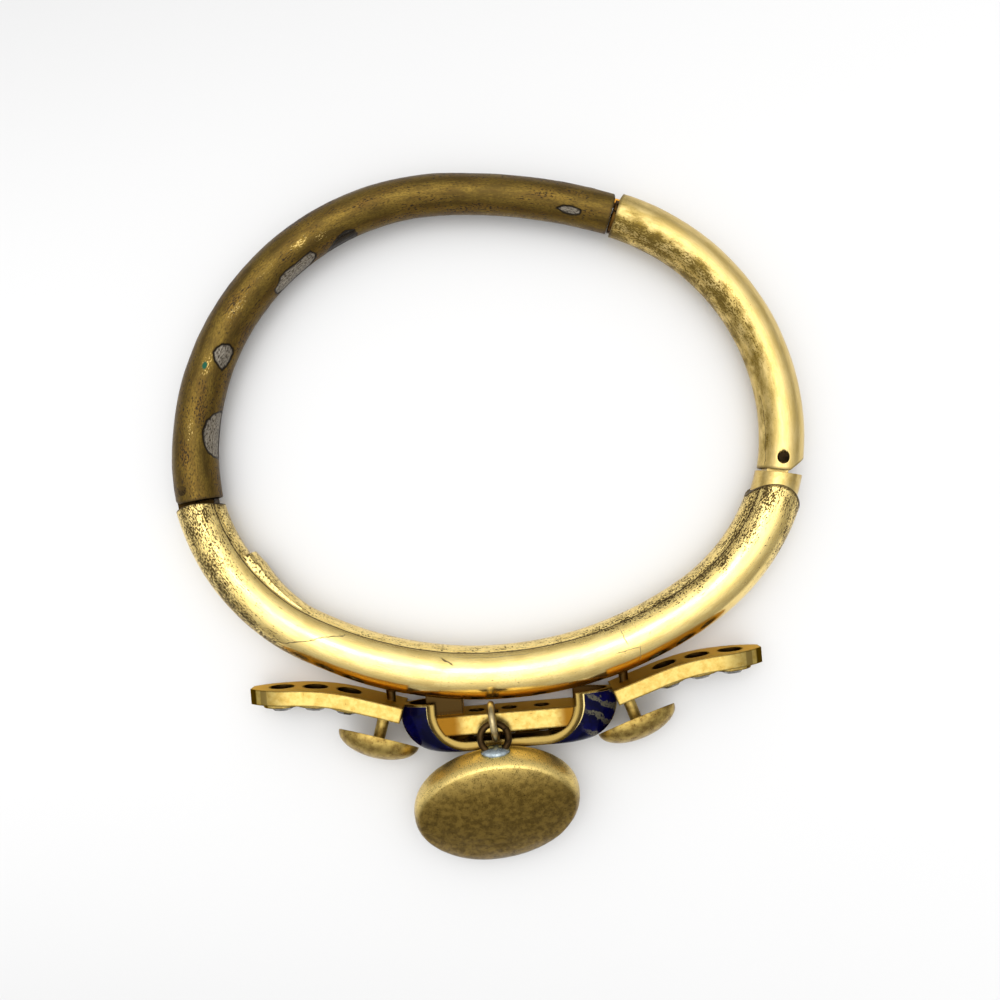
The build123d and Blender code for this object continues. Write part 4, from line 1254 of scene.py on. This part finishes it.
@dataclass
class Drop:
    """Puffed oval drop with its soldered ring."""

    ring_top: tuple[float, float, float] = (-1.75, -29.29382, 3.695)
    ring_slope: float = -8.0
    ring_radius: float = 1.475
    ring_wire: float = 0.375
    meeting: tuple[float, float, float] = (-1.75, -32.141, 4.095)
    slope: float = 26.0
    turn: float = 9.0
    middle: tuple[float, float] = (-0.35, -6.666)
    length: float = 17.8
    width: float = 13.2
    wall_half: float = 1.4
    edge_drop: float = 0.10
    dome: float = 1.6
    back_dome: float = 0.2
    dome_reach: float = 1.02
    face_reach: float = 0.93
    face_rows: int = 44
    around: int = 220
    # Share of the oval's reach and of the height, where the face rounds over into the wall
    edge_rows: tuple = ((0.955, 0.86), (0.972, 0.74), (0.984, 0.60), (0.991, 0.46), (0.996, 0.30), (0.999, 0.15),
                        (1.0, 0.0))
    solder: tuple[float, float, float] = (1.55, 0.55, 0.95)
    solder_steps: tuple[int, int] = (40, 48)

    def place(self, points: Array, origin: tuple[float, float, float], slope_angle: float) -> Array:
        """Turn places on the drop into the part's frame.

        Args:
            points: Places with X to the right, Y up the slope and Z out of it.
            origin: Where the sloping plane starts, in the loop's own frame.
            slope_angle: How far the plane slopes down towards the front, in degrees.

        Returns:
            The places in the part's frame, in millimetres.
        """
        slope = math.radians(slope_angle)
        turned = np.array([[1.0, 0.0, 0.0], [0.0, math.cos(slope), math.sin(slope)],
                           [0.0, -math.sin(slope), math.cos(slope)]])
        return np.array(origin) + LOOP_CENTRE + points @ turned

    def profile(self, rise: float) -> list[tuple[float, float]]:
        """Share of the oval's reach and height, from the middle of a face to mid wall.

        Args:
            rise: How far the face stands off the wall.

        Returns:
            Pairs of share and height.
        """
        rows = [(share, self.wall_half - self.edge_drop + rise * math.sqrt(1 - (share / self.dome_reach) ** 2))
                for share in np.linspace(0.0, self.face_reach, self.face_rows)]
        low = rows[-1][1]
        return rows + [(share, low * part) for share, part in self.edge_rows]

    def build(self) -> Piece:
        """Make the oval, its ring and the solder.

        Returns:
            The drop's object.
        """
        rear = [(share, -height) for share, height in self.profile(self.back_dome)][::-1]
        rows = self.profile(self.dome) + rear[1:]
        turn = np.linspace(0, 2 * math.pi, self.around, endpoint=False)
        tilt = math.radians(self.turn)
        rings = []
        for share, height in rows[1:-1]:
            x, y = share * self.length / 2 * np.cos(turn), share * self.width / 2 * np.sin(turn)
            rings.append(np.stack([self.middle[0] + x * math.cos(tilt) - y * math.sin(tilt),
                                   self.middle[1] + x * math.sin(tilt) + y * math.cos(tilt),
                                   np.full(self.around, height)], axis=-1))
        points = np.array(rings)
        dents = 0.02 * ripple(points, 4.0, 31) + 0.006 * ripple(points, 1.2, 32) - 0.02
        points[..., 2] += dents * np.sign(points[..., 2])
        flat = points.reshape(-1, 3)
        poles = np.array([[*self.middle, rows[0][1] - 0.02], [*self.middle, rows[-1][1] + 0.02]])
        number = np.arange(len(flat)).reshape(-1, self.around)
        after = np.roll(number, -1, axis=1)
        faces = quads(number).tolist()
        faces += [[len(flat), number[0][i], after[0][i]] for i in range(self.around)]
        faces += [[len(flat) + 1, after[-1][i], number[-1][i]] for i in range(self.around)]
        # Gold, pressed and left matte: olive brown with pores, with a painted highlight on the faces turned up the
        # slope and a painted reflection of the table on those turned down
        finish = CastMetal("matte antique gold with pores", bright="#8E7436", deep="#6C5624", tarnish="#403214",
                           rough=0.34, speck_mm=0.1, cover_share=0.5, patchy=0.2, bump_mm=0.014, bevel_mm=0.02,
                           painted_upslope_highlight="#E8CC7C")
        body = new_object("drop_body", self.place(np.vstack([flat, poles]), self.meeting, self.slope), faces,
                          "front", finish.build())
        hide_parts("drop")
        self.add_ring(body)
        return body

    def add_ring(self, body: Piece) -> None:
        """Make the drop's own dark ring and the bright solder under it.

        Args:
            body: The drop that carries them.
        """
        marks = self.place(np.array([[0, 0, 0], [1.0, 0, 0], [0, 1.0, 0], [0, -self.ring_radius, 0]]),
                           self.ring_top, self.ring_slope)
        shape = Ring(marks[3], marks[1] - marks[0], marks[2] - marks[0], self.ring_radius, self.ring_wire, 41,
                     (140, 36)).shape()
        # Bronze wire, drawn and blackened by age: nearly black with a brown gleam
        dark = CastMetal("dark bronzed ring", bright="#40301A", deep="#2C2012", tarnish="#140E06", rough=0.35,
                         speck_mm=0.2, cover_share=0.4, bevel_mm=0.02)
        new_object("drop_ring", *shape, "front", dark.build()).parent = body
        wide, deep, high = self.solder
        rows, around = self.solder_steps
        turn = np.linspace(0, 2 * math.pi, around, endpoint=False)
        rings = []
        for x in np.sin(np.linspace(-math.pi / 2, math.pi / 2, rows)):
            reach = math.sqrt(max(1 - x * x, 1e-4))
            rings.append(np.stack([np.full(around, x * wide), deep * reach * np.cos(turn),
                                   high * reach * np.sin(turn)], axis=-1))
        points = np.array(rings)
        points[..., 2] += 0.03 * ripple(points, 0.9, 43) - 0.03
        number = np.arange(rows * around).reshape(rows, around)
        faces = quads(number)[:, [0, 3, 2, 1]].tolist() + [number[0].tolist()[::-1], number[-1].tolist()]
        # Soft solder, melted on: grey and shiny, with the bluish tone of tin
        silver = CastMetal("soft solder", bright="#A4ADB0", deep="#7E888C", tarnish="#4A4E48", rough=0.25,
                           speck_mm=0.25, cover_share=0.3, bevel_mm=0.02)
        new_object("drop_solder", self.place(points, self.meeting, self.slope).reshape(-1, 3), faces, "front",
                   silver.build()).parent = body


@dataclass
class JumpRing:
    """Pale worn jump ring through the bar's slot."""

    centre: tuple[float, float, float] = (-1.75, -29.29382, 2.75)
    turn: float = 5.5
    radius: float = 1.75
    wire: float = 0.4

    def build(self) -> Piece:
        """Make the ring.

        Returns:
            The ring's object.
        """
        shape = Ring(np.array(self.centre) + LOOP_CENTRE, heading(90.0 + self.turn), UP, self.radius, self.wire,
                     51, (160, 40)).shape()
        # Gilt wire, drawn and worn: pale, with the shine of much handling
        finish = CastMetal("pale worn jump ring", bright="#C8B88C", deep="#A08E66", tarnish="#4A3C26", rough=0.28,
                           speck_mm=0.18, cover_share=0.35, bevel_mm=0.02)
        ring = new_object("jump_ring_wire", *shape, "front", finish.build())
        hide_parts("jump_ring")
        return ring


@dataclass
class Ornament:
    """Finishes of the pieces that keep their construction shapes."""

    stone_sides: tuple[str, ...] = ("bar", "left_wing", "right_wing")

    def dress(self) -> None:
        """Give every such piece its finish."""
        # Gold alloy, cast, polished and lacquered: bright on top, amber on the backs, with painted shade along its
        # edges
        gold = CastMetal("bright gilt ornament with amber backs", bright="#CDB468", deep="#BE9F52",
                         tarnish="#6A4A1A", rough=0.28, speck_mm=0.1, cover_share=0.3, patchy=0.5, bump_mm=0.006,
                         back="#B68A2C", painted_edge_shade=0.65, rim="#9C8448", bevel_mm=0.3, edge_tint="#FFDE70").build()
        # Gold, pressed and left matte: speckled olive gold
        matte = CastMetal("matte gold boss", bright="#B49A54", deep="#8C723A", tarnish="#3A2C12", rough=0.34,
                          speck_mm=0.13, cover_share=0.42, patchy=0.3, bump_mm=0.012).build()
        # Gilt brass tube, drawn: satin, kept clean by the mouth that it slides in
        sleeve = CastMetal("satin gilt sleeve", bright="#D8BE7A", deep="#C8AA62", tarnish="#6A5424", rough=0.3,
                           speck_mm=0.12, cover_share=0.25, bump_mm=0.006).build()
        # Brass pins, riveted over: one dull and brown, one coloured nearly black as painted shade of its hole
        pin = CastMetal("dull rivet", bright="#5E4A26", deep="#463820", tarnish="#1E160A", rough=0.45,
                        speck_mm=0.15, cover_share=0.4).build()
        shaded_rivet = CastMetal("rivet sunk in its dark hole", bright="#2A2012", deep="#1C150B", tarnish="#0E0A05",
                           rough=0.5, speck_mm=0.15, cover_share=0.4).build()
        enamel, stone = Enamel().build(), CutStone().build()
        chosen = {"ornament": gold, "left_boss": matte, "right_boss": matte, "sleeve": sleeve, "left_rivet": pin,
                  "right_rivet": shaded_rivet, "enamel_upper": enamel, "enamel_lower": enamel}
        chosen.update({f"{side}_stone_{i}": stone for side in self.stone_sides for i in (1, 2, 3)})
        for name, material in chosen.items():
            piece = bpy.data.objects[name]
            if not piece.material_slots:
                piece.data.materials.append(material)
            for place in piece.material_slots:
                place.material = material


@dataclass
class Studio:
    """White table, a soft ceiling that is brightest overhead, and the camera straight above."""

    camera_at: tuple[float, float, float] = (0.000805, 0.0015394, 0.1130073)
    camera_turn: float = -4.745
    lens: float = 36.87
    bright_towards: tuple[float, float, float] = (-0.10, 0.17, 0.98)
    strength: float = 2.5
    sky: tuple[tuple[float, str], ...] = ((0.0, "#6F6F6F"), (0.17, "#767676"), (0.40, "#868686"), (0.67, "#AAAAAA"),
                                          (0.80, "#CBCBCB"), (0.94, "#F1F1F1"), (1.0, "#FFFFFF"))
    lamp_watts: float = 0.12
    lamp_size: float = 0.16
    lamp_at: tuple[float, float, float] = (-0.05, 0.12, 0.42)
    paper: float = 0.78
    paper_rough: float = 0.9
    falloff: float = 0.12
    half_width: float = 0.054
    table_half: float = 3.0

    def build(self) -> None:
        """Make the table, the light and the camera."""
        half = self.table_half
        mesh = bpy.data.meshes.new("table")
        corners = [(-half, -half, 0), (half, -half, 0), (half, half, 0), (-half, half, 0)]
        mesh.from_pydata(corners, [], [(0, 1, 2, 3)])
        table = bpy.data.objects.new("table", mesh)
        scene = bpy.context.scene
        scene.collection.objects.link(table)
        mesh.materials.append(self.white_paper())
        self.light()
        data = bpy.data.cameras.new("camera")
        data.lens = self.lens
        data.sensor_width = 36.0
        data.clip_start = 0.001
        camera = bpy.data.objects.new("camera", data)
        camera.location = self.camera_at
        camera.rotation_euler = (0, 0, math.radians(self.camera_turn))
        scene.collection.objects.link(camera)
        scene.camera = camera
        scene.view_settings.view_transform = "Standard"

    def white_paper(self) -> bpy.types.Material:
        """Make the paper, whose colour is darkened towards its near and far edges, more on the left: painted shade
        where less light falls.

        Returns:
            The material.
        """
        material, new = Finish("white paper").start()
        place = new("SeparateXYZ", new("TexCoord", out="Object")).node.outputs
        # Painted shade: the paper's colour darkens away from the middle across, and more on the left
        near = new("Math", "ABSOLUTE", new("Math", "DIVIDE", place["Y"], self.half_width))
        near = new("Math", "MINIMUM", new("Math", "POWER", near, 2.0), 2.0)
        left = new("Math", "MAXIMUM", new("Math", "MULTIPLY_ADD", place["X"], -6.0, 0.65), 0.3)
        dim = new("Math", "MULTIPLY", near, new("Math", "MINIMUM", left, 1.0))
        shade = new("Math", "MULTIPLY_ADD", dim, -self.falloff * self.paper, self.paper)
        new("OutputMaterial", new("BsdfPrincipled", Base_Color=shade, Roughness=self.paper_rough,
                                  Specular_IOR_Level=0.1))
        return material

    def light(self) -> None:
        """Make the room's soft light, brightest overhead, and one large lamp."""
        world = bpy.data.worlds.new("room")
        bpy.context.scene.world = world
        world.use_nodes = True
        world.node_tree.nodes.clear()
        new = partial(add, world.node_tree)
        height = new("VectorMath", "DOT_PRODUCT", new("TexCoord", out="Generated"), self.bright_towards)
        colour = new("ValToRGB", height)
        band = colour.node.color_ramp
        while len(band.elements) < len(self.sky):
            band.elements.new(0.5)
        for element, (place, tone) in zip(band.elements, self.sky):
            element.position = place
            element.color = linear(tone)
        new("OutputWorld", new("Background", colour, self.strength))
        lamp = bpy.data.lights.new("softbox", "AREA")
        lamp.shape = "DISK"
        lamp.size = self.lamp_size
        lamp.energy = self.lamp_watts
        holder = bpy.data.objects.new("softbox", lamp)
        holder.location = self.lamp_at
        holder.rotation_euler = (-Vector(self.lamp_at)).to_track_quat("-Z", "Y").to_euler()
        bpy.context.scene.collection.objects.link(holder)


def main() -> None:
    """Build the bangle's looks in order and report each piece."""
    logging.basicConfig(level=logging.INFO, format="%(name)s %(message)s")
    for maker in (FrontTube(), LeftArm(), RightArm(), Drop(), JumpRing()):
        piece = maker.build()
        LOG.info("%s: %d faces", piece.name, len(piece.data.polygons))
    Ornament().dress()
    Studio().build()


if __name__ == "__main__":
    main()
